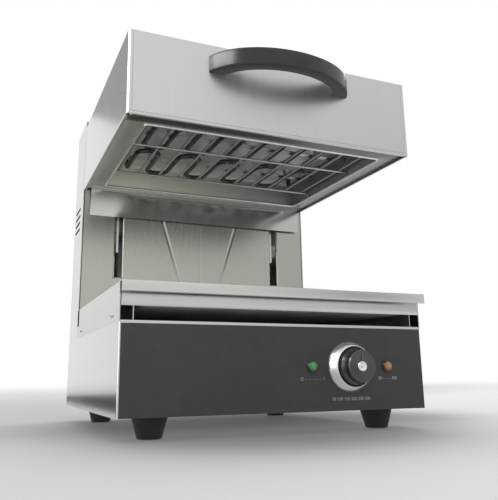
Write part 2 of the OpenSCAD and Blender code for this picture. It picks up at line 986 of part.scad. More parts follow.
// Serpentine tube between two rows, with both ends turned up at the first row
module serpentine(y0, y1) {
    first = -(legs - 1) / 2 * tube_pitch;
    for (i = [0 : legs - 1]) {
        translate([first + i * tube_pitch, 0, tube_z]) rod_y(tube_d, y0 + bend_tube, y1 - bend_tube);
    }
    for (i = [0 : legs - 2]) {
        at_far = i % 2 == 0;
        translate([first + (i + 0.5) * tube_pitch, at_far ? y1 - bend_tube : y0 + bend_tube, tube_z]) {
            rotate([0, 0, at_far ? 0 : 180]) rotate_extrude(angle = 180) {
                translate([bend_tube, 0]) circle(d = tube_d);
            }
        }
    }
    for (s = [-1, 1]) translate([s * first, y0 + bend_tube, tube_z + pin_bend]) {
        rotate([0, 90, 0]) rotate([0, 0, -90]) rotate_extrude(angle = 90) {
            translate([pin_bend, 0]) circle(d = tube_d);
        }
        translate([0, -pin_bend, 0]) cylinder(h = pin_top - tube_z - pin_bend, d = tube_d);
    }
}

module front_element() {
    color([0.3, 0.28, 0.27]) serpentine(row_front, row_mid);
}

module rear_element() {
    y0 = row_mid + row_gap;
    color([0.3, 0.28, 0.27]) translate([0, y0 + row_rear, 0]) mirror([0, 1, 0]) {
        serpentine(y0, row_rear);
    }
}

module element_insulators() {
    wall = 4;
    bead_h = 9;
    color("ivory") pin_places() translate([0, 0, roof_z]) {
        ring(tube_d + 2 * wall, tube_d + pin_gap, bead_h);
    }
}

module element_supports() {
    strip_z = tube_z + tube_d / 2;
    roof_in = roof_z - reflector_t;
    end_gap = 4;
    reach = mouth_x - end_gap;
    hanger_x = 0.7 * reach;
    color("gray") for (y = [(row_front + row_mid) / 2, (row_mid + row_gap + row_rear) / 2]) {
        translate([-reach, y - bar_strip / 2, strip_z]) cube([2 * reach, bar_strip, bar_strip_t]);
        for (x = [-hanger_x, 0, hanger_x]) translate([x - bar_strip_t / 2, y - bar_strip / 2, strip_z]) {
            cube([bar_strip_t, bar_strip, roof_in - strip_z]);
        }
    }
}

module wire_guard() {
    clip_grip = 0.5;
    overhang = 6;
    rod_reach = mouth_x + clip_grip;
    cross = (guard_cross - 1) / 2;
    color("gainsboro") {
        for (y = guard_rows) translate([0, y, guard_z]) rod_x(guard_d, -rod_reach, rod_reach);
        for (i = [-cross : cross]) {
            translate([i * guard_pitch, 0, guard_z + guard_d - weld]) {
                rod_y(guard_d, guard_rows[0] - overhang, guard_rows[2] + overhang);
            }
        }
    }
}

module guard_clips() {
    clip_t = 1.5;
    clip_w = 10;
    color("gray") both_sides() for (y = guard_rows) {
        translate([mouth_x, y - clip_w / 2, rim_top]) {
            cube([clip_t, clip_w, guard_z - guard_d / 2 - rim_top]);
        }
    }
}

module hood_handle() {
    color([0.12, 0.12, 0.12]) difference() {
        translate([0, ring_y, handle_z - handle_h / 2]) rotate_extrude($fn = 180) {
            translate([ring_r - handle_t, 0]) round_rect(handle_t, handle_h, handle_r);
        }
        translate([-2 * ring_r, hood_y, handle_z - handle_h]) cube([4 * ring_r, 4 * ring_r, 2 * handle_h]);
        both_sides() translate([bolt_x, 0, handle_z]) {
            rod_y(handle_bolt_d + 2 * run_gap, hood_y - bolt_depth, hood_y + cut);
        }
    }
}

module handle_bolts() {
    end_gap = 0.5;
    head_h = 3.5;
    color("gainsboro") both_sides() translate([bolt_x, 0, handle_z]) {
        rod_y(handle_bolt_d, hood_y - bolt_depth + end_gap, hood_y + sheet);
        rod_y(2 * handle_bolt_d, hood_y + sheet, hood_y + sheet + head_h);
    }
}

// Carriage behind the hood

module lift_arms() {
    color("silver") both_sides() translate([lift_x - arm_t / 2, 0, 0]) rotate([90, 0, 90]) {
        linear_extrude(arm_t) polygon([
            [back_rear, tab_z], [back_rear, tab_z + tab_h], [arm_back, tab_z + tab_h],
            [arm_back, arm_low], [arm_front, arm_low], [arm_front, tab_z]
        ]);
    }
}

module slider_blocks() {
    rod_room = 3;
    color("lightgray") both_sides() translate([lift_x, rod_y, slider_z]) difference() {
        translate([-slider_w / 2, -slider_d / 2, 0]) cube([slider_w, slider_d, slider_h]);
        translate([0, 0, -cut]) cylinder(h = slider_h + 2 * cut, d = rod_d + rod_room);
        for (z = [-cut, slider_h - bush_h]) translate([0, 0, z]) cylinder(h = bush_h + cut, d = bush_d);
    }
}

module slider_bushes() {
    color("white") both_sides() for (z = [0, slider_h - bush_h]) {
        translate([lift_x, rod_y, slider_z + z]) ring(bush_d, rod_d + 2 * run_gap, bush_h);
    }
}

module crossbar() {
    reach = lift_x - slider_w / 2;
    color("silver") translate([-reach, rod_y - bar_d / 2, bar_z]) cube([2 * reach, bar_d, bar_h]);
}

module crossbar_ferrules() {
    color("goldenrod") ferrules(rod_y, bar_z + bar_h);
}

// Tray

// Stepped trough: narrow below the shoulders, wide above them
module trough(low_x, high_x, y0, y1, z0, step_z, z1) {
    translate([-low_x, y0, z0]) cube([2 * low_x, y1 - y0, z1 - z0]);
    translate([-high_x, y0, step_z]) cube([2 * high_x, y1 - y0, z1 - step_z]);
}

module drip_pan() {
    fascia_in = 2;
    lip_over = 0.5;
    fascia_x = half_w - fascia_in;
    lip_x = half_w + lip_over;
    lip_y = -lip_reach;
    color("silver") {
        difference() {
            trough(pan_low_x, pan_x, pan_front, pan_rear, pan_z, shoulder_z, pan_top);
            trough(
                pan_low_x - pan_t, pan_x - pan_t, pan_front + fascia_t, pan_rear - pan_t,
                pan_z + pan_t, shoulder_z + pan_t, pan_top + cut
            );
        }
        translate([-fascia_x, pan_front, pan_z]) cube([2 * fascia_x, fascia_t, lip_top - pan_z]);
        translate([-lip_x, lip_y, lip_z]) cube([2 * lip_x, fascia_t, lip_h]);
        translate([-lip_x, lip_y, lip_top - fascia_t]) {
            cube([2 * lip_x, pan_front + fascia_t - lip_y, fascia_t]);
        }
    }
}

module wire_rack() {
    bar_end = 6;
    cross = (rack_bars - 1) / 2;
    color("gainsboro") {
        for (y = [rack_y0 + bar_end, (rack_y0 + rack_y1) / 2, rack_y1 - bar_end]) {
            translate([0, y, frame_axis]) rod_x(frame_d, -rack_x, rack_x);
        }
        for (i = [-cross : cross]) {
            translate([i * rack_pitch, 0, bar_axis]) rod_y(rack_d, rack_y0, rack_y1);
        }
    }
}

framed() left_side_panel();
framed() right_side_panel();
framed() front_panel();
framed() deck();
framed() bottom_plate();
framed() left_cheek();
framed() right_cheek();
framed() column_face();
framed() column_top();
framed() rear_cover();
framed() upper_crossmember();
framed() lower_crossmember();
framed() left_guide_rod();
framed() right_guide_rod();
framed() pulley_brackets();
framed() pulley_axles();
framed() left_pulley();
framed() right_pulley();
framed() rope_wraps();
framed() counterweight_rails();
framed() counterweight();
framed() counterweight_ferrules();
framed() left_front_rope();
framed() right_front_rope();
framed() left_rear_rope();
framed() right_rear_rope();
framed() feet();
framed() foot_screws();
framed() knob_bezel();
framed() thermostat_body();
framed() thermostat_shaft();
framed() control_knob();
framed() knob_cap();
framed() green_lamp();
framed() amber_lamp();
framed() lamp_bodies();
framed() terminal_block();
framed() cable_gland();
framed() hood_skin();
framed() hood_top();
framed() hood_back_plate();
framed() hood_rim();
framed() reflector();
framed() front_element();
framed() rear_element();
framed() element_insulators();
framed() element_supports();
framed() wire_guard();
framed() guard_clips();
framed() hood_handle();
framed() handle_bolts();
framed() lift_arms();
framed() slider_blocks();
framed() slider_bushes();
framed() crossbar();
framed() crossbar_ferrules();
framed() drip_pan();
framed() wire_rack();
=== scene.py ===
"""The looks of a counter-top salamander grill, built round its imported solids, in metres."""

import math

import bpy
from mathutils import Matrix, Vector


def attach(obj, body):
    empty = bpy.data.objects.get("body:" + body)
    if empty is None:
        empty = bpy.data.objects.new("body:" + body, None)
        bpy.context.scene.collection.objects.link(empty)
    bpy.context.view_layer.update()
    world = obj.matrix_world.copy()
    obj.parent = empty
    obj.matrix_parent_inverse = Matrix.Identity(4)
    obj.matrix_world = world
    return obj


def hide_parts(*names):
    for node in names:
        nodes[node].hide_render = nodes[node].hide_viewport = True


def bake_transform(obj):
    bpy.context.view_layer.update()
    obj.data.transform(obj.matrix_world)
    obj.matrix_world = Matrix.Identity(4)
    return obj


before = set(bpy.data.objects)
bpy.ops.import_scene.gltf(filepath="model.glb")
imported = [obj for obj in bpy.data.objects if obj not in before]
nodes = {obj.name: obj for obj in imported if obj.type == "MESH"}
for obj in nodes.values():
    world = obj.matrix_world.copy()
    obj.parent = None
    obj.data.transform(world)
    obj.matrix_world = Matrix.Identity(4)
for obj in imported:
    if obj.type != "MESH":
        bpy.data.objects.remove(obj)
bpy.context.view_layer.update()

# Camera of the photograph
CAMERA_PLACE = Vector((-0.375, -0.9324, 0.0757))
CAMERA_YAW = math.radians(22.7)
CAMERA_PITCH = math.radians(12.68)
CAMERA_ROLL = math.radians(-0.64)
CAMERA_LENS = 43.39
CAMERA_SHIFT = (0.024, -0.0182)


def make_camera():
    forward = Vector((math.sin(CAMERA_YAW), math.cos(CAMERA_YAW), math.tan(CAMERA_PITCH)))
    forward.normalize()
    level = Vector((math.cos(CAMERA_YAW), -math.sin(CAMERA_YAW), 0))
    lift = level.cross(forward)
    right = level * math.cos(CAMERA_ROLL) + lift * math.sin(CAMERA_ROLL)
    up = lift * math.cos(CAMERA_ROLL) - level * math.sin(CAMERA_ROLL)
    lens = bpy.data.cameras.new("camera")
    lens.lens = CAMERA_LENS
    lens.shift_x, lens.shift_y = CAMERA_SHIFT
    camera = bpy.data.objects.new("camera", lens)
    bpy.context.scene.collection.objects.link(camera)
    turn = Matrix((right, up, -forward)).transposed().to_4x4()
    camera.matrix_world = Matrix.Translation(CAMERA_PLACE) @ turn
    bpy.context.scene.camera = camera


make_camera()


# Shader helpers

class Sock:
    """A shader socket.

    Arithmetic on it adds Math nodes, and node() adds a node of any other kind."""

    def __init__(self, tree, socket):
        self.tree = tree
        self.socket = socket

    def node(self, kind, settings, inputs, out=0):
        made = self.tree.nodes.new(kind)
        for name, value in settings.items():
            setattr(made, name, value)
        for name, value in inputs.items():
            if isinstance(value, Sock):
                self.tree.links.new(value.socket, made.inputs[name])
            else:
                made.inputs[name].default_value = value
        return Sock(self.tree, made.outputs[out])

    def math(self, operation, first, second, clamp=False):
        return self.node("ShaderNodeMath", {"operation": operation, "use_clamp": clamp},
                         {0: first, 1: second})

    def __add__(self, other):
        return self.math("ADD", self, other)

    def __radd__(self, other):
        return self.math("ADD", other, self)

    def __sub__(self, other):
        return self.math("SUBTRACT", self, other)

    def __mul__(self, other):
        return self.math("MULTIPLY", self, other)

    def __rmul__(self, other):
        return self.math("MULTIPLY", other, self)

    def spread(self, low, high):
        """0 below low, 1 above high, and straight between them."""
        return self.math("MULTIPLY", self - low, 1 / (high - low), clamp=True)

    def mixed(self, first, second):
        """The first colour where this socket is 0, the second where it is 1."""
        return self.node("ShaderNodeMix", {"data_type": "RGBA"},
                         {0: self, 6: rgba(first), 7: rgba(second)}, 2)

    def ramp(self, stops):
        """The colours of the (value, colour) stops, blended between them."""
        made = self.node("ShaderNodeValToRGB", {}, {"Fac": self})
        elements = made.socket.node.color_ramp.elements
        while len(elements) < len(stops):
            elements.new(1)
        for element, (value, colour) in zip(elements, stops):
            element.position = value
            element.color = rgba(colour)
        return made

    def noise(self, scale, detail=3, stretch=(1, 1, 1)):
        """Noise on this vector, drawn out along the axes where stretch is small."""
        drawn = self.node("ShaderNodeMapping", {}, {"Vector": self, "Scale": stretch})
        return self.node("ShaderNodeTexNoise", {},
                         {"Vector": drawn, "Scale": scale, "Detail": detail})

    def bump(self, strength, distance):
        return self.node("ShaderNodeBump", {},
                         {"Height": self, "Strength": strength, "Distance": distance})

    def axes(self):
        split = self.node("ShaderNodeSeparateXYZ", {}, {"Vector": self})
        outputs = split.socket.node.outputs
        return [Sock(self.tree, outputs[i]) for i in range(3)]


def rgba(colour):
    return colour if isinstance(colour, Sock) else (*colour[:3], 1)


def new_finish(name, **constants):
    """A material, its shader and its object coordinates.

    Constants go straight on the shader's sockets."""
    material = bpy.data.materials.new(name)
    material.use_nodes = True
    tree = material.node_tree
    shader = tree.nodes["Principled BSDF"]
    for socket, value in constants.items():
        shader.inputs[socket.replace("_", " ")].default_value = value
    place = Sock(tree, tree.nodes.new("ShaderNodeTexCoord").outputs["Object"])
    return material, shader, place


def feed(shader, **links):
    for socket, value in links.items():
        value.tree.links.new(value.socket, shader.inputs[socket.replace("_", " ")])


def show(material, surface):
    """Gives a material another surface than its first shader."""
    output = material.node_tree.nodes["Material Output"]
    surface.tree.links.new(surface.socket, output.inputs["Surface"])


# Finishes

GRAIN = {"x": (0.02, 1, 1), "y": (1, 0.02, 1), "z": (1, 1, 0.02)}
STEEL = (0.60, 0.595, 0.585)


def brushed_steel(name, grain, tone=STEEL, rough=0.27, marks=0.05, smooth_side=None):
    """Sheet with a brushed grain along one axis, cloudy handling marks and fine scratches.

    Faces further out in x than smooth_side are smoother."""
    material, shader, place = new_finish(name, Metallic=1.0)
    fine = place.noise(900, 2, GRAIN[grain])
    broad = place.noise(130, 3, GRAIN[grain])
    cloud = place.noise(7, 2)
    streak = 0.55 * fine + 0.45 * broad
    pale = [min(1, (1 + marks) * c) for c in tone]
    deep = [(1 - marks) * c for c in tone]
    colour = (0.8 * streak + 0.2 * cloud).spread(0.3, 0.7).mixed(deep, pale)
    worn = rough - 0.09 + 0.12 * streak + 0.08 * cloud
    if smooth_side:
        out = place.axes()[0]
        worn = worn - 0.16 * (out * out).spread(smooth_side ** 2 - 4e-4, smooth_side ** 2)
    feed(shader, Base_Color=colour, Roughness=worn, Normal=streak.bump(1.2 * marks, 0.0004))
    return material


def black_paint(name):
    """Satin stoved paint with a fine orange peel and a little dust."""
    material, shader, place = new_finish(name, Specular_IOR_Level=0.45)
    peel = place.noise(700, 2)
    cloud = place.noise(9, 3)
    dust = 0.5 * cloud + 0.5 * place.noise(60, 4)
    colour = dust.spread(0.3, 0.7).mixed((0.026, 0.026, 0.027), (0.037, 0.037, 0.037))
    feed(shader, Base_Color=colour, Roughness=0.36 + 0.16 * cloud, Normal=peel.bump(0.12, 0.0003))
    return material


def bright_metal(name, tone, rough, scratch=0.08):
    """Plated or ground metal with faint wiping marks."""
    material, shader, place = new_finish(name, Metallic=1.0)
    wipe = place.noise(40, 4)
    grit = place.noise(600, 2)
    deep = [0.86 * c for c in tone]
    feed(shader, Base_Color=wipe.spread(0.3, 0.7).mixed(deep, tone),
         Roughness=rough + scratch * wipe, Normal=grit.bump(0.04, 0.0002))
    return material


def moulded(name, tone, rough, grain=0.15, gloss=0.5):
    """Moulded plastic, phenolic or rubber with a spark-eroded skin."""
    material, shader, place = new_finish(name, Specular_IOR_Level=gloss)
    skin = place.noise(1400, 2)
    cloud = place.noise(25, 3)
    pale = [min(1, 1.25 * c + 0.004) for c in tone]
    feed(shader, Base_Color=cloud.spread(0.3, 0.7).mixed(tone, pale),
         Roughness=rough - 0.06 + 0.12 * cloud, Normal=skin.bump(grain, 0.0002))
    return material


def heater_tube(name):
    """Oxidised sheath: brown black with straw and blue heat tints along its length."""
    material, shader, place = new_finish(name, Metallic=1.0)
    tint = place.noise(18, 3)
    soot = place.noise(160, 4)
    heat = tint.ramp([(0.30, (0.030, 0.028, 0.028)), (0.46, (0.060, 0.050, 0.043)),
                      (0.56, (0.045, 0.045, 0.053)), (0.72, (0.028, 0.025, 0.024))])
    feed(shader, Base_Color=soot.spread(0.35, 0.75).mixed(heat, (0.09, 0.082, 0.074)),
         Roughness=0.12 + 0.22 * soot, Normal=soot.bump(0.10, 0.0002))
    return material


def reflector_sheet(name):
    """Aluminised sheet with heat bloom and a soft rolled grain.

    Its slopes are olive at the left and turn darker towards the right, which is painted shade."""
    material, shader, place = new_finish(name, Metallic=0.7)
    bloom = place.noise(11, 3)
    roll = place.noise(300, 2, GRAIN["x"])
    roof = bloom.spread(0.25, 0.75).mixed((0.70, 0.69, 0.66), (0.84, 0.83, 0.80))
    across, _, height = place.axes()
    # brown: the mask of the painted shade that darkens the slopes towards the right
    brown = (across + 0.05 * place.noise(60, 3, GRAIN["z"])).spread(-0.16, 0.15)
    slope = brown.mixed((0.66, 0.645, 0.53), (0.26, 0.26, 0.25))
    feed(shader, Base_Color=height.spread(0.452, 0.458).mixed(slope, roof),
         Roughness=0.36 + 0.22 * bloom, Normal=roll.bump(0.12, 0.0003))
    return material


def rim_with_painted_shade(name):
    """Hood frame with painted shade: dark along its front strip and darker towards its right side.
    """
    material, shader, place = new_finish(name, Metallic=1.0)
    grain = place.noise(300, 2, GRAIN["x"])
    cloud = place.noise(16, 3)
    across, depth, _ = place.axes()
    # Painted shade: the strip along the front is dark, and the sides grow darker towards the right.
    clear_of_front_shade = (depth + 0.006 * cloud).spread(-0.178, -0.170)
    to_right = (across + 0.03 * cloud).spread(-0.12, 0.19)
    sides = to_right.mixed((0.60, 0.59, 0.54), (0.24, 0.24, 0.235))
    feed(shader, Base_Color=clear_of_front_shade.mixed((0.15, 0.148, 0.14), sides),
         Roughness=0.24 + 0.20 * cloud, Normal=grain.bump(0.05, 0.0003))
    return material


def worn_sheet(name):
    """Dull sheet, scoured and stained by use."""
    material, shader, place = new_finish(name, Metallic=0.55)
    scour = place.noise(260, 3, GRAIN["x"])
    stain = place.noise(14, 4)
    feed(shader, Base_Color=stain.spread(0.35, 0.7).mixed((0.66, 0.655, 0.64), (0.52, 0.50, 0.46)),
         Roughness=0.30 + 0.25 * scour, Normal=scour.bump(0.12, 0.0003))
    return material


def cast_iron(name):
    """Rough sand casting with a little rust."""
    material, shader, place = new_finish(name, Metallic=0.6)
    sand = place.noise(420, 4)
    rust = place.noise(14, 4)
    feed(shader, Base_Color=rust.spread(0.5, 0.75).mixed((0.10, 0.10, 0.105), (0.14, 0.10, 0.08)),
         Roughness=0.62 + 0.2 * sand, Normal=sand.bump(0.5, 0.0008))
    return material


def wire_rope(name):
    """Stranded rope: slanted ridges round an upright rope."""
    material, shader, place = new_finish(name, Metallic=1.0)
    lay = place.node("ShaderNodeTexWave", {"bands_direction": "DIAGONAL"},
                     {"Vector": place, "Scale": 260, "Distortion": 0.5}, 1)
    # The grooves between the strands are darker: painted shade.
    feed(shader, Base_Color=lay.mixed((0.16, 0.16, 0.16), (0.48, 0.47, 0.46)),
         Roughness=0.32 + 0.2 * lay, Normal=lay.bump(0.6, 0.0004))
    return material


def lamp_lens(name, middle, tone, level):
    """Moulded lens with a painted highlight near the middle of its dome, darker towards its edge.
    """
    material, shader, place = new_finish(name, Roughness=0.14, IOR=1.49, Coat_Weight=0.4,
                                         Emission_Strength=level)
    # middle: the spot of the painted highlight, a little above the middle of the dome
    edge = place.node("ShaderNodeVectorMath", {"operation": "DISTANCE"},
                      {0: place, 1: middle}, 1)
    rings = edge.spread(0.0008, 0.0076) + 0.12 * place.noise(500, 2)
    deep = [0.22 * c for c in tone]
    pale = [0.8 * c + 0.07 for c in tone]
    colour = rings.ramp([(0.0, pale), (0.45, tone), (1.0, deep)])
    feed(shader, Base_Color=colour, Emission_Color=colour)
    return material


def print_ink(name, tone):
    """Screen-printed ink, slightly broken at its edges."""
    material, shader, place = new_finish(name, Roughness=0.55)
    wear = place.noise(900, 3)
    feed(shader, Base_Color=wear.spread(0.3, 0.7).mixed([0.7 * c for c in tone], tone),
         Normal=wear.bump(0.1, 0.0001))
    return material


steel_up = brushed_steel("steel_brushed_upright", "z")
steel_across = brushed_steel("steel_brushed_across", "x")
steel_deep = brushed_steel("steel_brushed_in_depth", "y", (0.55, 0.545, 0.535))
hood_steel = brushed_steel("hood_steel", "z", rough=0.33, marks=0.025, smooth_side=0.2245)
side_steel = brushed_steel("side_steel", "z", (0.53, 0.525, 0.517), 0.14, 0.025)
deck_steel = brushed_steel("deck_steel", "x", rough=0.45)
back_plate_steel = brushed_steel("back_plate_steel", "x", rough=0.16, marks=0.03)
column_steel = brushed_steel("column_steel", "z", (0.49, 0.478, 0.452), 0.25)
hood_reflector = reflector_sheet("aluminised_reflector")
rim_steel = rim_with_painted_shade("rim_steel_painted_shade")
panel_black = black_paint("panel_satin_black")
chrome = bright_metal("chrome_trim", (0.80, 0.80, 0.81), 0.05)
satin_ring = bright_metal("satin_bezel", (0.74, 0.74, 0.74), 0.17, 0.06)
bead_steel = bright_metal("bead_steel", (0.72, 0.715, 0.70), 0.16)
# The guard's wire is darker than the rack's ground steel: painted shade.
shaded_guard_wire = bright_metal("shaded_guard_wire", (0.48, 0.475, 0.46), 0.33)
zinc = bright_metal("zinc_plate", (0.56, 0.57, 0.59), 0.28, 0.2)
ground_steel = bright_metal("ground_steel", (0.64, 0.64, 0.64), 0.18)
arm_steel = bright_metal("arm_steel", (0.88, 0.88, 0.87), 0.30)
slider_alloy = bright_metal("slider_alloy", (0.70, 0.70, 0.71), 0.34)
brass = bright_metal("ferrule_brass", (0.66, 0.48, 0.20), 0.25, 0.15)
phenolic = moulded("black_phenolic", (0.016, 0.016, 0.017), 0.34)
handle_black = moulded("handle_black", (0.013, 0.013, 0.014), 0.22, 0.04, 0.45)
knob_black = moulded("knob_black", (0.018, 0.018, 0.019), 0.24, 0.04, 0.9)
rubber = moulded("black_rubber", (0.017, 0.017, 0.017), 0.62, 0.3, 0.25)
nylon = moulded("white_nylon", (0.74, 0.73, 0.69), 0.45)
ceramic = moulded("ceramic_bead", (0.78, 0.76, 0.70), 0.22, 0.05)
dull_sheet = worn_sheet("worn_sheet")
iron = cast_iron("cast_iron")
rope_steel = wire_rope("stranded_rope")
heater = heater_tube("heater_sheath")
# The points given are the lenses' painted highlights, a little above their middles.
green_lens = lamp_lens("green_lens", (0.039, -0.2066, 0.089), (0.03, 0.20, 0.04), 0.30)
amber_lens = lamp_lens("amber_lens", (0.161, -0.2066, 0.089), (0.30, 0.13, 0.05), 0.25)
white_ink = print_ink("white_ink", (0.42, 0.42, 0.41))
pointer_ink = print_ink("pointer_ink", (0.16, 0.16, 0.16))

NODE_FINISHES = {
    steel_up: ["rear_cover"],
    side_steel: ["left_side_panel", "right_side_panel"],
    hood_steel: ["hood_skin"],
    deck_steel: ["deck"],
    back_plate_steel: ["hood_back_plate"],
    rim_steel: ["hood_rim"],
    steel_across: ["bottom_plate", "column_top", "hood_top", "drip_pan"],
    steel_deep: ["left_cheek", "right_cheek"],
    column_steel: ["column_face"],
    hood_reflector: ["reflector"],
    panel_black: ["front_panel"],
    satin_ring: ["knob_bezel"],
    chrome: ["knob_cap"],
    zinc: ["upper_crossmember", "lower_crossmember", "pulley_brackets", "counterweight_rails",
           "foot_screws", "thermostat_body", "element_supports", "guard_clips", "handle_bolts",
           "crossbar"],
    arm_steel: ["lift_arms"],
    ground_steel: ["left_guide_rod", "right_guide_rod", "pulley_axles", "thermostat_shaft",
                   "wire_rack"],
    shaded_guard_wire: ["wire_guard"],
    slider_alloy: ["slider_blocks"],
    brass: ["counterweight_ferrules", "crossbar_ferrules"],
    phenolic: ["control_knob", "hood_handle", "lamp_bodies", "cable_gland"],
    rubber: ["feet"],
    nylon: ["terminal_block", "left_pulley", "right_pulley", "slider_bushes"],
    ceramic: ["element_insulators"],
    iron: ["counterweight"],
    rope_steel: ["rope_wraps", "left_front_rope", "right_front_rope", "left_rear_rope",
                 "right_rear_rope"],
    heater: ["front_element", "rear_element"],
    green_lens: ["green_lamp"],
    amber_lens: ["amber_lamp"],
}
for finish, names in NODE_FINISHES.items():
    for name in names:
        nodes[name].data.materials.clear()
        nodes[name].data.materials.append(finish)


# Modelling helpers

FACING = (math.pi / 2, 0, 0)
REARWARD = (-math.pi / 2, 0, 0)
SHEET = 0.0012
PANEL_Y = -0.2015
X, Y, Z = (1, 0, 0), (0, 1, 0), (0, 0, 1)


def to_mode(mode):
    bpy.ops.object.mode_set(mode=mode)


def claim(name):
    """Names the active piece and its mesh."""
    piece = bpy.context.object
    piece.name = piece.data.name = name
    return piece


def settle():
    """Writes the active piece's place, turn and size into its mesh."""
    bpy.ops.object.transform_apply(location=True, rotation=True, scale=True)


def grab(piece):
    """Makes a piece the active one and the only one selected."""
    bpy.ops.object.select_all(action="DESELECT")
    piece.select_set(True)
    bpy.context.view_layer.objects.active = piece


def start_box(name, low, high):
    """A box between two corners, open in edit mode."""
    low, high = Vector(low), Vector(high)
    bpy.ops.object.select_all(action="DESELECT")
    bpy.ops.mesh.primitive_cube_add(size=1, location=(low + high) / 2)
    piece = claim(name)
    piece.scale = high - low
    settle()
    to_mode("EDIT")
    return piece


def start_sheet(name, x, y, z):
    """A flat sheet across two of the axes: the one with a single value is its plane."""
    flat = [axis for axis, span in enumerate((x, y, z)) if not isinstance(span, tuple)][0]
    spans = [span if isinstance(span, tuple) else (span, span) for span in (x, y, z)]
    middle = [(a + b) / 2 for a, b in spans]
    width, height = [b - a for axis, (a, b) in enumerate(spans) if axis != flat]
    turn = {0: (math.pi / 2, 0, math.pi / 2), 1: (math.pi / 2, 0, 0), 2: (0, 0, 0)}[flat]
    bpy.ops.object.select_all(action="DESELECT")
    bpy.ops.mesh.primitive_plane_add(size=1, location=middle, rotation=turn)
    piece = claim(name)
    piece.scale = (width, height, 1)
    settle()
    to_mode("EDIT")
    return piece


def pick(piece, kind, test):
    """Selects the faces, edges or points whose middle and normal, or direction, pass the test."""
    to_mode("OBJECT")
    mesh = piece.data
    for group in (mesh.vertices, mesh.edges, mesh.polygons):
        group.foreach_set("select", [False] * len(group))
    if kind == "FACE":
        for face in mesh.polygons:
            face.select = test(face.center, face.normal)
    elif kind == "EDGE":
        for edge in mesh.edges:
            a, b = [mesh.vertices[i].co for i in edge.vertices]
            edge.select = test((a + b) / 2, (b - a).normalized())
    else:
        for point in mesh.vertices:
            point.select = test(point.co, point.normal)
    bpy.context.tool_settings.mesh_select_mode = [kind == name for name in ("VERT", "EDGE", "FACE")]
    to_mode("EDIT")


def near(a, b, slack=1e-4):
    return abs(a - b) < slack


def slice_at(place, normal):
    """Cuts new edges through the whole mesh along a plane."""
    bpy.ops.mesh.select_all(action="SELECT")
    bpy.ops.mesh.bisect(plane_co=place, plane_no=normal)


def extrude_edges(move):
    bpy.ops.mesh.extrude_edges_move(TRANSFORM_OT_translate={"value": move})


def round_edges(width, segments):
    bpy.ops.mesh.bevel(offset=width, segments=segments, affect="EDGES")


def modify(piece, kind, **settings):
    """Adds a modifier and applies it."""
    if bpy.context.mode == "EDIT_MESH":
        to_mode("OBJECT")
    modifier = piece.modifiers.new(kind.lower(), kind)
    for name, value in settings.items():
        setattr(modifier, name, value)
    bpy.ops.object.modifier_apply(modifier=modifier.name)


def weld():
    """Joins points that lie on each other."""
    bpy.ops.mesh.select_all(action="SELECT")
    bpy.ops.mesh.remove_doubles(threshold=1e-6)


def face_outward():
    bpy.ops.mesh.select_all(action="SELECT")
    bpy.ops.mesh.normals_make_consistent(inside=False)


def soften(piece, width, segments=2):
    """Rounds the edges of a finished piece."""
    modify(piece, "BEVEL", width=width, segments=segments, limit_method="ANGLE",
           angle_limit=math.radians(35))


def thicken(piece, thickness=SHEET, even=True):
    """Gives a sheet its thickness, inward from its outer face."""
    modify(piece, "SOLIDIFY", thickness=thickness, offset=-1, use_even_offset=even)


def turned(name, profile, steps=64, ring=False):
    """A solid of revolution up the Z axis, by extruding and resizing a disc.

    The profile holds (radius, height) points. A ring's goes on to its first point again."""
    radius, height = profile[0]
    bpy.ops.object.select_all(action="DESELECT")
    bpy.ops.mesh.primitive_circle_add(vertices=steps, radius=radius, location=(0, 0, height),
                                      fill_type="NOTHING" if ring else "NGON")
    piece = claim(name)
    settle()
    to_mode("EDIT")
    bpy.context.tool_settings.mesh_select_mode = (False, ring, not ring)
    bpy.ops.mesh.select_all(action="SELECT")
    for next_radius, next_height in profile[1:] + (profile[:1] if ring else []):
        rise = (0, 0, next_height - height)
        if ring:
            extrude_edges(rise)
        else:
            bpy.ops.mesh.extrude_region_move(TRANSFORM_OT_translate={"value": rise})
        ratio = next_radius / radius
        bpy.ops.transform.resize(value=(ratio, ratio, 1), center_override=(0, 0, next_height))
        radius, height = next_radius, next_height
    if ring:
        weld()
    face_outward()
    to_mode("OBJECT")
    return piece


def stand(piece, place, turn=(0, 0, 0)):
    """Turns a piece made at the origin and puts it in its place."""
    grab(piece)
    piece.rotation_euler = turn
    piece.location = place
    settle()
    return piece


def copy_of(piece, move):
    """A copy with a mesh of its own, moved from where the first one is."""
    grab(piece)
    bpy.ops.object.duplicate(linked=False)
    return stand(bpy.context.object, move)


def joined(name, pieces):
    bpy.ops.object.select_all(action="DESELECT")
    for piece in pieces:
        piece.select_set(True)
    bpy.context.view_layer.objects.active = pieces[0]
    bpy.ops.object.join()
    return claim(name)


def done(piece, finish, body, slot, *stands_for, crease=35):
    """Ends a piece: shading, finish, body and the solids that it takes the place of. The slot is
    not used.
    """
    if bpy.context.mode == "EDIT_MESH":
        to_mode("OBJECT")
    grab(piece)
    bpy.ops.object.shade_smooth_by_angle(angle=math.radians(crease))
    piece.data.materials.clear()
    piece.data.materials.append(finish)
    if body:
        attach(piece, body)
    if stands_for:
        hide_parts(*stands_for)
    return piece


# Hood

HOOD_X = 0.225
HOOD_Y = -0.206
HOOD_BACK = 0.1505
HOOD_Z = 0.4125
SKIN_TOP = 0.5333
HEM = 0.004
INNER_X = 0.2236
BACK_FACE = 0.1435
RIM_Z = 0.4155
MOUTH_X = 0.192
MOUTH_FRONT = -0.173
MOUTH_REAR = 0.1215


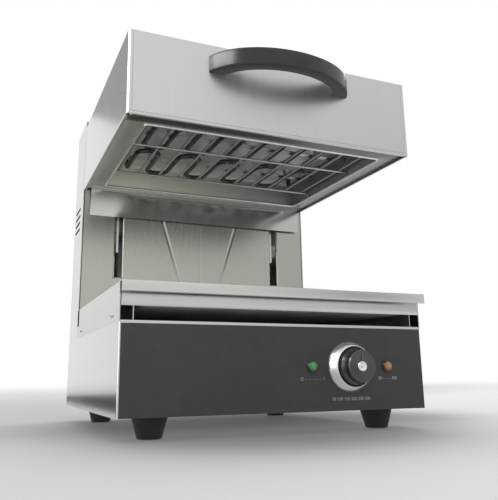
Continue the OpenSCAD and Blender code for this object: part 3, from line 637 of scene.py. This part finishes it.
def make_hood_shell():
    """Front and sides in one folded sheet.

    A hem runs along the bottom, a seam near each end and one above the hem."""
    corner, fold, groove, slack = 0.004, 0.0015, 0.0007, 1e-4
    seam_x = (0.2180, 0.2183, 0.2190, 0.2193)
    seam_z = (0.0030, 0.0034, 0.0046, 0.0050)
    piece = start_box("hood_shell", (-HOOD_X, HOOD_Y, HOOD_Z), (HOOD_X, HOOD_BACK, SKIN_TOP))
    pick(piece, "FACE", lambda c, n: abs(n.z) > 0.9 or n.y > 0.9)
    bpy.ops.mesh.delete(type="FACE")
    pick(piece, "EDGE", lambda m, d: abs(d.z) > 0.9 and m.y < HOOD_Y + 0.01)
    round_edges(corner, 6)
    pick(piece, "EDGE", lambda m, d: near(m.z, HOOD_Z) and abs(d.z) < 0.1)
    extrude_edges((0, 0, 0))
    depth = HOOD_BACK - HOOD_Y
    bpy.ops.transform.resize(value=((HOOD_X - HEM) / HOOD_X, (depth - HEM) / depth, 1),
                             center_override=(0, HOOD_BACK, HOOD_Z))
    face_outward()
    pick(piece, "EDGE", lambda m, d: near(m.z, HOOD_Z) and abs(d.z) < 0.1
         and (near(abs(m.x), HOOD_X, 0.0042) or m.y < HOOD_Y + 0.0044))
    round_edges(fold, 3)
    for side in (-1, 1):
        for x in seam_x:
            slice_at((side * x, 0, 0), X)
    for z in seam_z:
        slice_at((0, 0, HOOD_Z + z), Z)
    pick(piece, "VERT", lambda p, n: near(p.y, HOOD_Y)
         and (seam_x[1] - slack < abs(p.x) < seam_x[2] + slack
              or seam_z[1] - slack < p.z - HOOD_Z < seam_z[2] + slack))
    bpy.ops.transform.translate(value=(0, groove, 0))
    thicken(piece, even=False)
    return done(piece, hood_steel, "hood", "stainless", "hood_skin")


def make_hood_rim():
    """The frame under the hood."""
    front = -0.2046
    piece = start_sheet("hood_mouth_frame", (-INNER_X, INNER_X), (front, BACK_FACE),
                        RIM_Z + SHEET)
    for x in (-MOUTH_X, MOUTH_X):
        slice_at((x, 0, 0), X)
    for y in (MOUTH_FRONT, MOUTH_REAR):
        slice_at((0, y, 0), Y)
    pick(piece, "FACE", lambda c, n: abs(c.x) < MOUTH_X and MOUTH_FRONT < c.y < MOUTH_REAR)
    bpy.ops.mesh.delete(type="FACE")
    thicken(piece)
    soften(piece, 0.0002)
    return done(piece, rim_steel, "hood", "stainless", "hood_rim")


def make_mouth_bead():
    """The rolled edge round the mouth of the frame."""
    corner, radius, z = 0.006, 0.0022, 0.4152
    start_sheet("mouth_bead", (-MOUTH_X, MOUTH_X), (MOUTH_FRONT, MOUTH_REAR), z)
    bpy.ops.mesh.select_all(action="SELECT")
    bpy.ops.mesh.bevel(offset=corner, segments=6, affect="VERTICES")
    bpy.ops.mesh.delete(type="ONLY_FACE")
    to_mode("OBJECT")
    bpy.ops.object.convert(target="CURVE")
    bpy.context.object.data.bevel_depth = radius
    bpy.context.object.data.bevel_resolution = 4
    bpy.ops.object.convert(target="MESH")
    return done(claim("mouth_bead"), bead_steel, "hood", "stainless")


def make_back_plate():
    """The back of the hood, narrower where it hangs below the rim.

    One bottom corner is pushed in a little."""
    low, skirt, step_x, step_z = 0.3665, 0.2125, 0.006, 0.0054
    dent, dent_x, dent_reach = 0.0064, -0.168, 0.052
    piece = start_sheet("hood_back_sheet", (-INNER_X, INNER_X), BACK_FACE, (low, SKIN_TOP))
    slice_at((0, 0, RIM_Z), Z)
    for x in (-skirt, skirt):
        slice_at((x, 0, 0), X)
    pick(piece, "FACE", lambda c, n: abs(c.x) > skirt and c.z < RIM_Z)
    bpy.ops.mesh.delete(type="FACE")
    for step in range(1, 16):
        slice_at((-skirt + step_x * step, 0, 0), X)
    for step in range(1, 9):
        slice_at((0, 0, low + step_z * step), Z)
    pick(piece, "VERT", lambda p, n: near(p.z, low) and p.x < dent_x)
    bpy.ops.transform.translate(value=(0, dent, 0), use_proportional_edit=True,
                                proportional_edit_falloff="LINEAR",
                                proportional_size=dent_reach)
    thicken(piece)
    return done(piece, back_plate_steel, "hood", "stainless", "hood_back_plate")


def make_handle():
    """A flattened bow with full shoulders, cut flush with the hood front."""
    hub, radius, wide, tall, middle = (0.002, -0.1867, 0), 0.1167, 0.025, 0.0265, 0.5048
    start, flatten, corner = math.radians(-8), 0.662, 0.003
    piece = start_sheet("bow_handle", (radius - wide, radius), 0,
                        (middle - tall / 2, middle + tall / 2))
    bpy.ops.mesh.select_all(action="SELECT")
    bpy.ops.mesh.bevel(offset=corner, segments=6, affect="VERTICES")
    to_mode("OBJECT")
    stand(piece, hub, (0, 0, start))
    to_mode("EDIT")
    bpy.ops.mesh.select_all(action="SELECT")
    bpy.ops.mesh.spin(steps=96, angle=math.pi + 2 * start, center=hub, axis=Z)
    weld()
    bpy.ops.mesh.select_all(action="SELECT")
    bpy.ops.transform.resize(value=(1, flatten, 1), center_override=hub)
    bpy.ops.mesh.bisect(plane_co=(0, HOOD_Y, 0), plane_no=Y, use_fill=True, clear_outer=True)
    face_outward()
    return done(piece, handle_black, "hood", "black_plastic", "hood_handle")


make_hood_shell()
make_hood_rim()
make_mouth_bead()
make_back_plate()
make_handle()


# Column

def make_column_sheet():
    """The face of the column.

    It has two upright slots with turned edges, and a V pressed in with its middle line."""
    y, foot, top, slope, half_low, press, bend = 0.152, 0.1645, 0.53, 0.305, 0.013, 0.0012, 0.004
    line_half, line_press = 0.003, 0.00025
    slot_low, slot_high, slot_in, slot_out = 0.2535, 0.498, 0.1505, 0.1655
    turn_in, turn_r, gauge = 0.005, 0.0022, 0.0008
    piece = start_sheet("column_sheet", (-0.2225, 0.2225), y, (0.1445, 0.5468))
    for side in (-1, 1):
        for x in (slot_in, slot_out, line_half):
            slice_at((side * x, y, 0), X)
        for out in (-bend, 0, bend):
            slice_at((side * (half_low + out), y, foot), (side, 0, -slope))
    slice_at((0, y, 0), X)
    for z in (foot - bend, foot, slot_low, slot_high, top, top + bend):
        slice_at((0, y, z), Z)
    pick(piece, "VERT", lambda p, n: foot - 1e-4 < p.z < top + 1e-4
         and near(abs(p.x), half_low + slope * (p.z - foot)))
    bpy.ops.transform.translate(value=(0, press, 0))
    pick(piece, "VERT", lambda p, n: foot - 1e-4 < p.z < top + 1e-4 and near(p.x, 0))
    bpy.ops.transform.translate(value=(0, line_press, 0))
    pick(piece, "FACE", lambda c, n: slot_in < abs(c.x) < slot_out and slot_low < c.z < slot_high)
    bpy.ops.mesh.delete(type="FACE")
    pick(piece, "EDGE", lambda m, d: abs(d.z) > 0.9 and slot_low < m.z < slot_high
         and (near(abs(m.x), slot_in) or near(abs(m.x), slot_out)))
    extrude_edges((0, turn_in, 0))
    pick(piece, "EDGE", lambda m, d: abs(d.z) > 0.9 and slot_low < m.z < slot_high
         and near(m.y, y) and (near(abs(m.x), slot_in) or near(abs(m.x), slot_out)))
    round_edges(turn_r, 4)
    thicken(piece, gauge, even=False)
    return done(piece, column_steel, "casing", "stainless", "column_face", crease=3)


make_column_sheet()


# Tray

PAN_Z = 0.1625
PAN_FRONT = -0.2003
PAN_SHEET = 0.001


def make_trough():
    """Stepped trough of dull sheet."""
    half, rear, ledge_half, ledge_z, wall = 0.196, 0.132, 0.205, 0.1815, 0.010
    trough = start_box("trough", (-half, PAN_FRONT, PAN_Z), (half, rear, ledge_z))
    pick(trough, "FACE", lambda c, n: n.z > 0.9)
    bpy.ops.mesh.delete(type="FACE")
    pick(trough, "EDGE", lambda m, d: near(m.z, ledge_z) and abs(d.z) < 0.1)
    extrude_edges((0, 0, 0))
    bpy.ops.transform.resize(value=(ledge_half / half, 1, 1), center_override=(0, 0, ledge_z))
    extrude_edges((0, 0, wall))
    weld()
    pick(trough, "EDGE", lambda m, d: (near(m.z, PAN_Z) or near(abs(m.x), half)) and m.z < 0.19)
    round_edges(0.003, 3)
    face_outward()
    thicken(trough, PAN_SHEET)
    done(claim("grill_trough"), dull_sheet, "tray", "stainless")


def make_pan_front():
    """Bright fascia of the pan with a folded lip."""
    top, low_bend, high_bend = 0.1920, 0.1640, 0.1860
    fascia = start_sheet("fascia", (-0.223, 0.223), PANEL_Y, (PAN_Z, top))
    for z in (low_bend, 0.1675, 0.1790, high_bend):
        slice_at((0, 0, z), Z)
    for z, back in ((PAN_Z, 0.0014), (low_bend, 0.0005), (high_bend, 0.0005), (top, 0.0014)):
        pick(fascia, "VERT", lambda p, n: near(p.z, z))
        bpy.ops.transform.translate(value=(0, back, 0))
    thicken(fascia, PAN_SHEET)
    lip_x, lip_y, lip_low, lip_top = 0.2255, -0.215, 0.1785, 0.1925
    lip = start_box("lip", (-lip_x, lip_y, lip_low), (lip_x, PAN_FRONT, lip_top))
    pick(lip, "FACE", lambda c, n: n.z < -0.9 or n.y > 0.9 or abs(n.x) > 0.9)
    bpy.ops.mesh.delete(type="FACE")
    pick(lip, "EDGE", lambda m, d: near(m.z, lip_top) and near(m.y, lip_y))
    round_edges(0.0010, 3)
    pick(lip, "EDGE", lambda m, d: near(m.z, lip_low))
    extrude_edges((0, 0.004, 0))
    pick(lip, "EDGE", lambda m, d: near(m.z, lip_low) and near(m.y, lip_y))
    round_edges(0.0012, 3)
    face_outward()
    thicken(lip)
    soften(lip, 0.0003)
    front = joined("grill_pan_front", [fascia, lip])
    done(front, steel_across, "tray", "stainless", "drip_pan")


def make_cheek(name, side):
    """Folded channel beside the pan.

    It has a ledge inside, and a notch at the rear where it clears the column."""
    outer, inner, front, rear = 0.225, 0.207, -0.200, 0.1517
    low, top, notch_y, notch_z = 0.1445, 0.193, 0.136, 0.163
    ledge_x, ledge_low, ledge_top, lap = 0.197, 0.1799, 0.1811, 0.0006
    channel = start_box(name, (inner, front, low), (outer, rear, top))
    pick(channel, "FACE", lambda c, n: n.z < -0.9 or abs(n.y) > 0.9)
    bpy.ops.mesh.delete(type="FACE")
    pick(channel, "EDGE", lambda m, d: near(m.z, top) and near(m.x, outer))
    round_edges(0.002, 4)
    slice_at((0, notch_y, 0), Y)
    slice_at((0, 0, notch_z), Z)
    pick(channel, "FACE", lambda c, n: c.y > notch_y and c.z > notch_z and c.x > inner + 0.001)
    bpy.ops.mesh.delete(type="FACE")
    face_outward()
    thicken(channel)
    ledge = start_box("ledge", (ledge_x, front, ledge_low), (inner + lap, rear, ledge_top))
    to_mode("OBJECT")
    piece = joined(name, [channel, ledge])
    if side < 0:
        bpy.ops.transform.mirror(constraint_axis=(True, False, False), center_override=(0, 0, 0))
        settle()
        to_mode("EDIT")
        face_outward()
    return piece


make_trough()
make_pan_front()
done(make_cheek("left_cheek_channel", -1), steel_deep, "casing", "stainless", "left_cheek")
done(make_cheek("right_cheek_channel", 1), steel_deep, "casing", "stainless", "right_cheek")


# Controls

DIAL = Vector((0.1, PANEL_Y, 0.0875))
LAMP_STEP = 0.061
PRINT_SIZE = 0.0062
LAMP_PRINT_Z = 0.0712
DIAL_PRINT_Z = 0.0440


def make_knob():
    """Knob with a skirt, a shoulder and a dished face, a grey pointer line and a bright centre."""
    skirt_r, face_r, length = 0.0256, 0.022, 0.031
    piece = turned("skirted_knob", [
        (0.0200, 0.0008), (skirt_r, 0.0008), (skirt_r, 0.0166), (skirt_r - 0.0004, 0.0172),
        (0.0227, 0.0222), (0.0224, 0.0230), (face_r, length - 0.002), (face_r - 0.0018, length),
        (face_r - 0.004, length), (0.0082, length - 0.002), (0.0070, length - 0.002),
        (0.0070, length - 0.003)], 96)
    soften(piece, 0.0003)
    stand(piece, DIAL, FACING)
    done(piece, knob_black, "knob", "black_plastic", "control_knob")
    pointer = start_box("knob_pointer", (-0.0006, 0.0090, length - 0.0022),
                        (0.0006, 0.0178, length + 0.0001))
    soften(pointer, 0.0002)
    stand(pointer, DIAL, FACING)
    done(pointer, pointer_ink, "knob", "nylon_white")
    cap = turned("knob_centre", [
        (0.00695, length - 0.003), (0.00695, length - 0.0013), (0.0065, length - 0.0007),
        (0.0057, length - 0.0005), (0.0049, length - 0.0007), (0.0042, length - 0.0012),
        (0.0022, length - 0.0017), (0.0006, length - 0.0018)], 48)
    stand(cap, DIAL, FACING)
    done(cap, chrome, "knob", "chrome_trim", "knob_cap")


def make_bezel():
    """The bright ring round the knob, sloping out to the panel."""
    ring = turned("dial_ring", [
        (0.0262, 0.0), (0.0360, 0.0), (0.0360, 0.0008), (0.0352, 0.0023), (0.0343, 0.0038),
        (0.0333, 0.0053), (0.0323, 0.0068), (0.0311, 0.0083), (0.0299, 0.0098), (0.0290, 0.0108),
        (0.0280, 0.0118), (0.0276, 0.0120), (0.0271, 0.0117), (0.0264, 0.0070)], 96, ring=True)
    stand(ring, DIAL, FACING)
    done(ring, satin_ring, "casing", "chrome_trim", "knob_bezel")


def make_lamps():
    """A domed lens in a black collar on each side of the dial."""
    for name, side, finish in (("green", -1, green_lens), ("amber", 1, amber_lens)):
        place = DIAL + Vector((side * LAMP_STEP, 0, 0))
        lens = turned(f"{name}_lamp_lens", [
            (0.0071, 0.0002), (0.0074, 0.0016), (0.0072, 0.0026), (0.0062, 0.0037),
            (0.0045, 0.0045), (0.0023, 0.0049)], 40)
        stand(lens, place, FACING)
        done(lens, finish, "casing", f"{name}_lens", f"{name}_lamp")
        collar = turned(f"{name}_lamp_collar", [
            (0.0072, 0.0), (0.0088, 0.0), (0.0088, 0.0010), (0.0083, 0.0015),
            (0.0075, 0.0015)], 40, ring=True)
        stand(collar, place, FACING)
        done(collar, phenolic, "casing", "black_plastic")


def make_print(name, words, x, z):
    """A line of print on the panel."""
    bpy.ops.object.select_all(action="DESELECT")
    bpy.ops.object.text_add(location=(x, PANEL_Y - 0.00012, z), rotation=FACING)
    text = bpy.context.object
    text.data.body = words
    text.data.size = PRINT_SIZE
    text.data.align_x = "CENTER"
    text.data.align_y = "CENTER"
    text.data.extrude = 0.00006
    bpy.ops.object.convert(target="MESH")
    piece = claim(name)
    settle()
    return piece


def make_prints():
    """A plain line or plain numbers under each lamp and under the dial."""
    marks = [make_print("mark_green", "O  -  -  -  -  -  I", DIAL.x - LAMP_STEP, LAMP_PRINT_Z),
             make_print("mark_amber", "50 - - - - 300", DIAL.x + LAMP_STEP, LAMP_PRINT_Z),
             make_print("mark_dial", "50 100 150 200 250 300", DIAL.x - 0.001, DIAL_PRINT_Z)]
    done(joined("panel_print", marks), white_ink, "casing", "nylon_white")


make_knob()
make_bezel()
make_lamps()
make_prints()


# Feet, screws and gland

COVER_Y = 0.25


def make_feet():
    """Tapered rubber feet: one is made, and copied to the four corners."""
    foot = turned("foot", [
        (0.0065, 0.0075), (0.0065, 0.0), (0.0145, 0.0), (0.0158, 0.0006), (0.0165, 0.0022),
        (0.0228, 0.0245), (0.0230, 0.0255), (0.0230, 0.0290), (0.0032, 0.0290)], 56)
    places = [Vector((x, y, 0)) for x in (-0.172, 0.172) for y in (-0.152, 0.188)]
    feet = [copy_of(foot, place) for place in places]
    bpy.data.objects.remove(foot)
    done(joined("rubber_feet", feet), rubber, "casing", "rubber_black", "feet")


def cut_by(piece, cutter):
    """Takes the second piece out of the first."""
    grab(piece)
    modify(piece, "BOOLEAN", operation="DIFFERENCE", object=cutter, solver="EXACT")
    bpy.data.objects.remove(cutter)


def make_screws():
    """Pan-head screws with a cross recess.

    One is made, and copied to the cheeks and the rear cover."""
    cheek_x, cheek_z, cover_x = 0.225, 0.154, 0.213
    long, thin = 0.0017, 0.00035
    head = turned("screw", [
        (0.0034, 0.0), (0.0034, 0.0006), (0.0030, 0.0014), (0.0020, 0.0019), (0.0009, 0.0021)], 28)
    for half_x, half_y in ((long, thin), (thin, long)):
        slot = start_box("recess", (-half_x, -half_y, 0.0009), (half_x, half_y, 0.003))
        to_mode("OBJECT")
        cut_by(head, slot)
    screws = []

    def put(place, turn):
        screws.append(stand(copy_of(head, (0, 0, 0)), place, turn))

    for side in (-1, 1):
        for y in (-0.156, 0.105):
            put((side * cheek_x, y, cheek_z), (0, side * math.pi / 2, 0))
        for z in (0.046, 0.205, 0.365, 0.532):
            put((side * cover_x, COVER_Y, z), REARWARD)
    bpy.data.objects.remove(head)
    done(joined("casing_screws", screws), zinc, "casing", "zinc_steel")


def make_gland():
    """Cable gland: thread, two hexagon nuts and a domed clamp."""
    bore, seat, thread_r = 0.0045, 0.0098, 0.010
    profiles = (
        ("thread", 40, [(bore, -0.0112), (thread_r, -0.0112), (thread_r, 0.001), (bore, 0.001)]),
        ("inner_nut", 6, [(seat, -0.0062), (0.0135, -0.0062), (0.0135, -0.0012), (seat, -0.0012)]),
        ("outer_nut", 6, [(seat, 0.0), (0.0140, 0.0), (0.0140, 0.005), (seat, 0.005)]),
        ("clamp", 40, [(bore, 0.001), (seat, 0.001), (0.0110, 0.005), (0.0110, 0.0098),
                       (0.0100, 0.0124), (0.0078, 0.0138), (0.0058, 0.0140), (bore, 0.0130)]))
    rings = [turned(name, profile, steps, ring=True) for name, steps, profile in profiles]
    gland = stand(joined("supply_gland", rings), (0.182, COVER_Y, 0.070), REARWARD)
    soften(gland, 0.0003)
    done(gland, phenolic, "casing", "black_plastic", "cable_gland")


make_feet()
make_screws()
make_gland()


# Lift ropes

ROPE_R = 0.0015
ROPE_TOP = 0.5028


def make_rope(node, x, y, low, high):
    """A straight rope that runs from its pulley at the top down to its body at the bottom."""
    bpy.ops.object.select_all(action="DESELECT")
    bpy.ops.mesh.primitive_cylinder_add(vertices=14, radius=ROPE_R, depth=high - low,
                                        location=(x, y, (low + high) / 2))
    piece = claim(f"{node}_strand")
    settle()
    pick(piece, "EDGE", lambda m, d: abs(d.z) > 0.9)
    bpy.ops.mesh.subdivide(number_cuts=20)
    done(piece, rope_steel, None, "rope_steel", node)
    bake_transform(piece)


for side, x in (("left", -0.1), ("right", 0.1)):
    make_rope(f"{side}_front_rope", x, 0.194, 0.436, ROPE_TOP)
    make_rope(f"{side}_rear_rope", x, 0.234, 0.2714, ROPE_TOP)


# Rounded edges of the solids that show as they are

EDGE_ROUNDS = {
    0.0005: ["left_side_panel", "right_side_panel", "deck", "column_top"],
    0.0003: ["front_panel", "bottom_plate", "rear_cover", "hood_top", "lift_arms",
             "slider_blocks", "crossbar", "counterweight", "terminal_block",
             "upper_crossmember", "lower_crossmember"],
}
for width, names in EDGE_ROUNDS.items():
    for name in names:
        edge = nodes[name].modifiers.new("edge", "BEVEL")
        edge.width = width
        edge.segments = 2
        edge.limit_method = "ANGLE"
        edge.angle_limit = math.radians(40)


# Studio

# Where the floor's painted shadow lies: its core, the way it runs and its length.
SHADE_FOOT = (0.008, -0.058)
SHADE_AIM = (0.693, 0.72)
SHADE_LONG = 0.20
FADE = (0.8, 6.0)
GLOSSY_SHARE = 0.42


def grey_ramp(value, low, high, stops):
    """Greys along a socket that runs from low to high, from (value, grey) stops."""
    return value.spread(low, high).ramp(
        [((spot - low) / (high - low), (tone, tone, tone)) for spot, tone in stops])


def make_floor():
    """A pale floor with a painted shadow round and under the grill and painted light in front, that
    goes white far away.

    Reflections see it lighter than the camera does."""
    bpy.ops.object.select_all(action="DESELECT")
    bpy.ops.mesh.primitive_circle_add(vertices=96, radius=14, fill_type="NGON",
                                      location=(0, 0, -0.0004))
    floor = bpy.context.object
    floor.name = "studio_floor"
    material, shader, place = new_finish("floor_paper", Roughness=0.75, Specular_IOR_Level=0.1,
                                         Emission_Strength=0.15)
    across, depth, _ = place.axes()
    side, back = across - SHADE_FOOT[0], depth - SHADE_FOOT[1]
    along = (SHADE_AIM[0] * side + SHADE_AIM[1] * back).spread(0, SHADE_LONG) * SHADE_LONG
    off_x, off_y = side - SHADE_AIM[0] * along, back - SHADE_AIM[1] * along
    away = side.math("POWER", off_x * off_x + off_y * off_y, 0.5)
    # grey: painted shadow, darkest round a core that runs from under the grill to its right rear.
    grey = grey_ramp(away, 0, 6, (
        (0.0, 0.08), (0.10, 0.10), (0.18, 0.16), (0.23, 0.22), (0.28, 0.31), (0.33, 0.43),
        (0.39, 0.53), (0.46, 0.59), (0.6, 0.60), (1.2, 0.60), (2.3, 0.62), (6.0, 0.84)))
    # glow: painted light, strongest in front of the grill, that lifts the painted shadow.
    glow = grey_ramp(depth, -0.5, 0.3, ((-0.35, 0.67), (-0.12, 0.90), (0.0, 0.60), (0.1, 0.50)))
    # shade: painted shadow that darkens the floor to the left rear.
    shade = grey_ramp(0.94 * depth - 0.69 * across, 0, 4, (
        (0.0, 1.0), (0.48, 0.72), (1.0, 0.72), (3.6, 0.9)))
    feed(shader, Base_Color=grey * shade, Emission_Color=glow)
    path = place.tree.nodes.new("ShaderNodeLightPath").outputs
    camera, glossy, through = [Sock(place.tree, path[f"Is {kind} Ray"])
                               for kind in ("Camera", "Glossy", "Transmission")]
    seen = camera.math("MAXIMUM", camera, glossy.math("MAXIMUM", glossy, through))
    whiteness = side.math("MAXIMUM", away.spread(*FADE) * seen, GLOSSY_SHARE * glossy)
    paper = Sock(place.tree, shader.outputs[0])
    white = place.node("ShaderNodeEmission", {}, {"Color": (1, 1, 1, 1), "Strength": 1.0})
    show(material, place.node("ShaderNodeMixShader", {}, {0: whiteness, 1: paper, 2: white}))
    floor.data.materials.append(material)


def make_world():
    """A white room."""
    world = bpy.data.worlds.new("studio")
    world.use_nodes = True
    bpy.context.scene.world = world
    sky = world.node_tree.nodes["Background"].inputs
    sky["Color"].default_value = (1, 1, 1, 1)
    sky["Strength"].default_value = 1.0


def hang(piece, tones):
    """Makes a studio piece that only shows in reflections.

    The function tones gives its colour from its object coordinates."""
    material, _, place = new_finish(piece.name)
    glow = place.node("ShaderNodeEmission", {}, {"Color": rgba(tones(place)), "Strength": 1.0})
    show(material, glow)
    piece.data.materials.append(material)
    piece.visible_camera = piece.visible_diffuse = piece.visible_shadow = False


def make_canvas():
    """A canvas hung round the front of the room, grey to the right of the camera."""
    bpy.ops.object.select_all(action="DESELECT")
    bpy.ops.mesh.primitive_cylinder_add(vertices=96, radius=3.2, depth=2.4,
                                        end_fill_type="NOTHING", location=(0, 0, 1.2))
    canvas = claim("studio_canvas")
    settle()
    pick(canvas, "FACE", lambda c, n: c.y > 0.6)
    bpy.ops.mesh.delete(type="FACE")
    to_mode("OBJECT")

    def tones(place):
        side, depth, height = place.axes()
        bearing = side.math("ARCTAN2", side, -1 * depth) * (0.5 / math.pi) + 0.5
        low = bearing.ramp([
            (0.25, (1.0, 1.0, 0.99)), (0.40, (0.92, 0.91, 0.88)), (0.535, (0.90, 0.89, 0.85)),
            (0.56, (0.80, 0.79, 0.76)), (0.60, (0.70, 0.69, 0.67)), (0.617, (0.44, 0.44, 0.43)),
            (0.640, (0.48, 0.48, 0.47)), (0.665, (0.80, 0.80, 0.79)), (0.70, (1.0, 1.0, 1.0))])
        high = bearing.ramp([(spot, (tone, tone, tone)) for spot, tone in (
            (0.25, 1.0), (0.533, 1.05), (0.556, 0.90), (0.575, 0.78), (0.592, 0.80),
            (0.611, 0.90), (0.75, 1.0))])
        return height.spread(1.2, 1.5).mixed(low, high)

    hang(canvas, tones)


def make_flag(name, x, y, z, tone):
    """A flat sheet of one tone that shows in reflections."""
    flag = start_sheet(name, x, y, z)
    to_mode("OBJECT")
    hang(flag, lambda place: tone)


def make_softbox(name, place, aim, size, power, lights_floor=True):
    """A soft lamp. Without lights_floor it shows on polished faces alone."""
    light = bpy.data.lights.new(name, "AREA")
    light.shape = "RECTANGLE"
    light.size, light.size_y = size
    light.energy = power
    lamp = bpy.data.objects.new(name, light)
    bpy.context.scene.collection.objects.link(lamp)
    lamp.location = place
    lamp.rotation_euler = (Vector(aim) - Vector(place)).to_track_quat("-Z", "Y").to_euler()
    lamp.visible_diffuse = lights_floor


make_floor()
make_world()
make_canvas()
make_flag("studio_rear_flag", (-1.7, 0.3), 2.0, (1.39, 3.2), (0.43, 0.43, 0.44))
# A dark sheet on the floor that shows only in reflections: painted shade for the side panels to
# reflect.
make_flag("floor_shade_card", (-1.4, -0.345), (0.2, 1.85), 0.002, (0.06, 0.06, 0.06))
make_softbox("softbox_overhead", (1.2, 0.9, 2.0), (0, 0, 0.2), (1.2, 1.2), 14)
make_softbox("softbox_left", (-1.6, -0.35, 0.45), (0, -0.1, 0.3), (1.2, 0.9), 5, lights_floor=False)
make_softbox("softbox_high_left", (-1.55, -0.5, 1.4), (0, -0.2, 0.5), (1.6, 0.55), 28,
             lights_floor=False)

bpy.context.scene.view_settings.view_transform = "Standard"
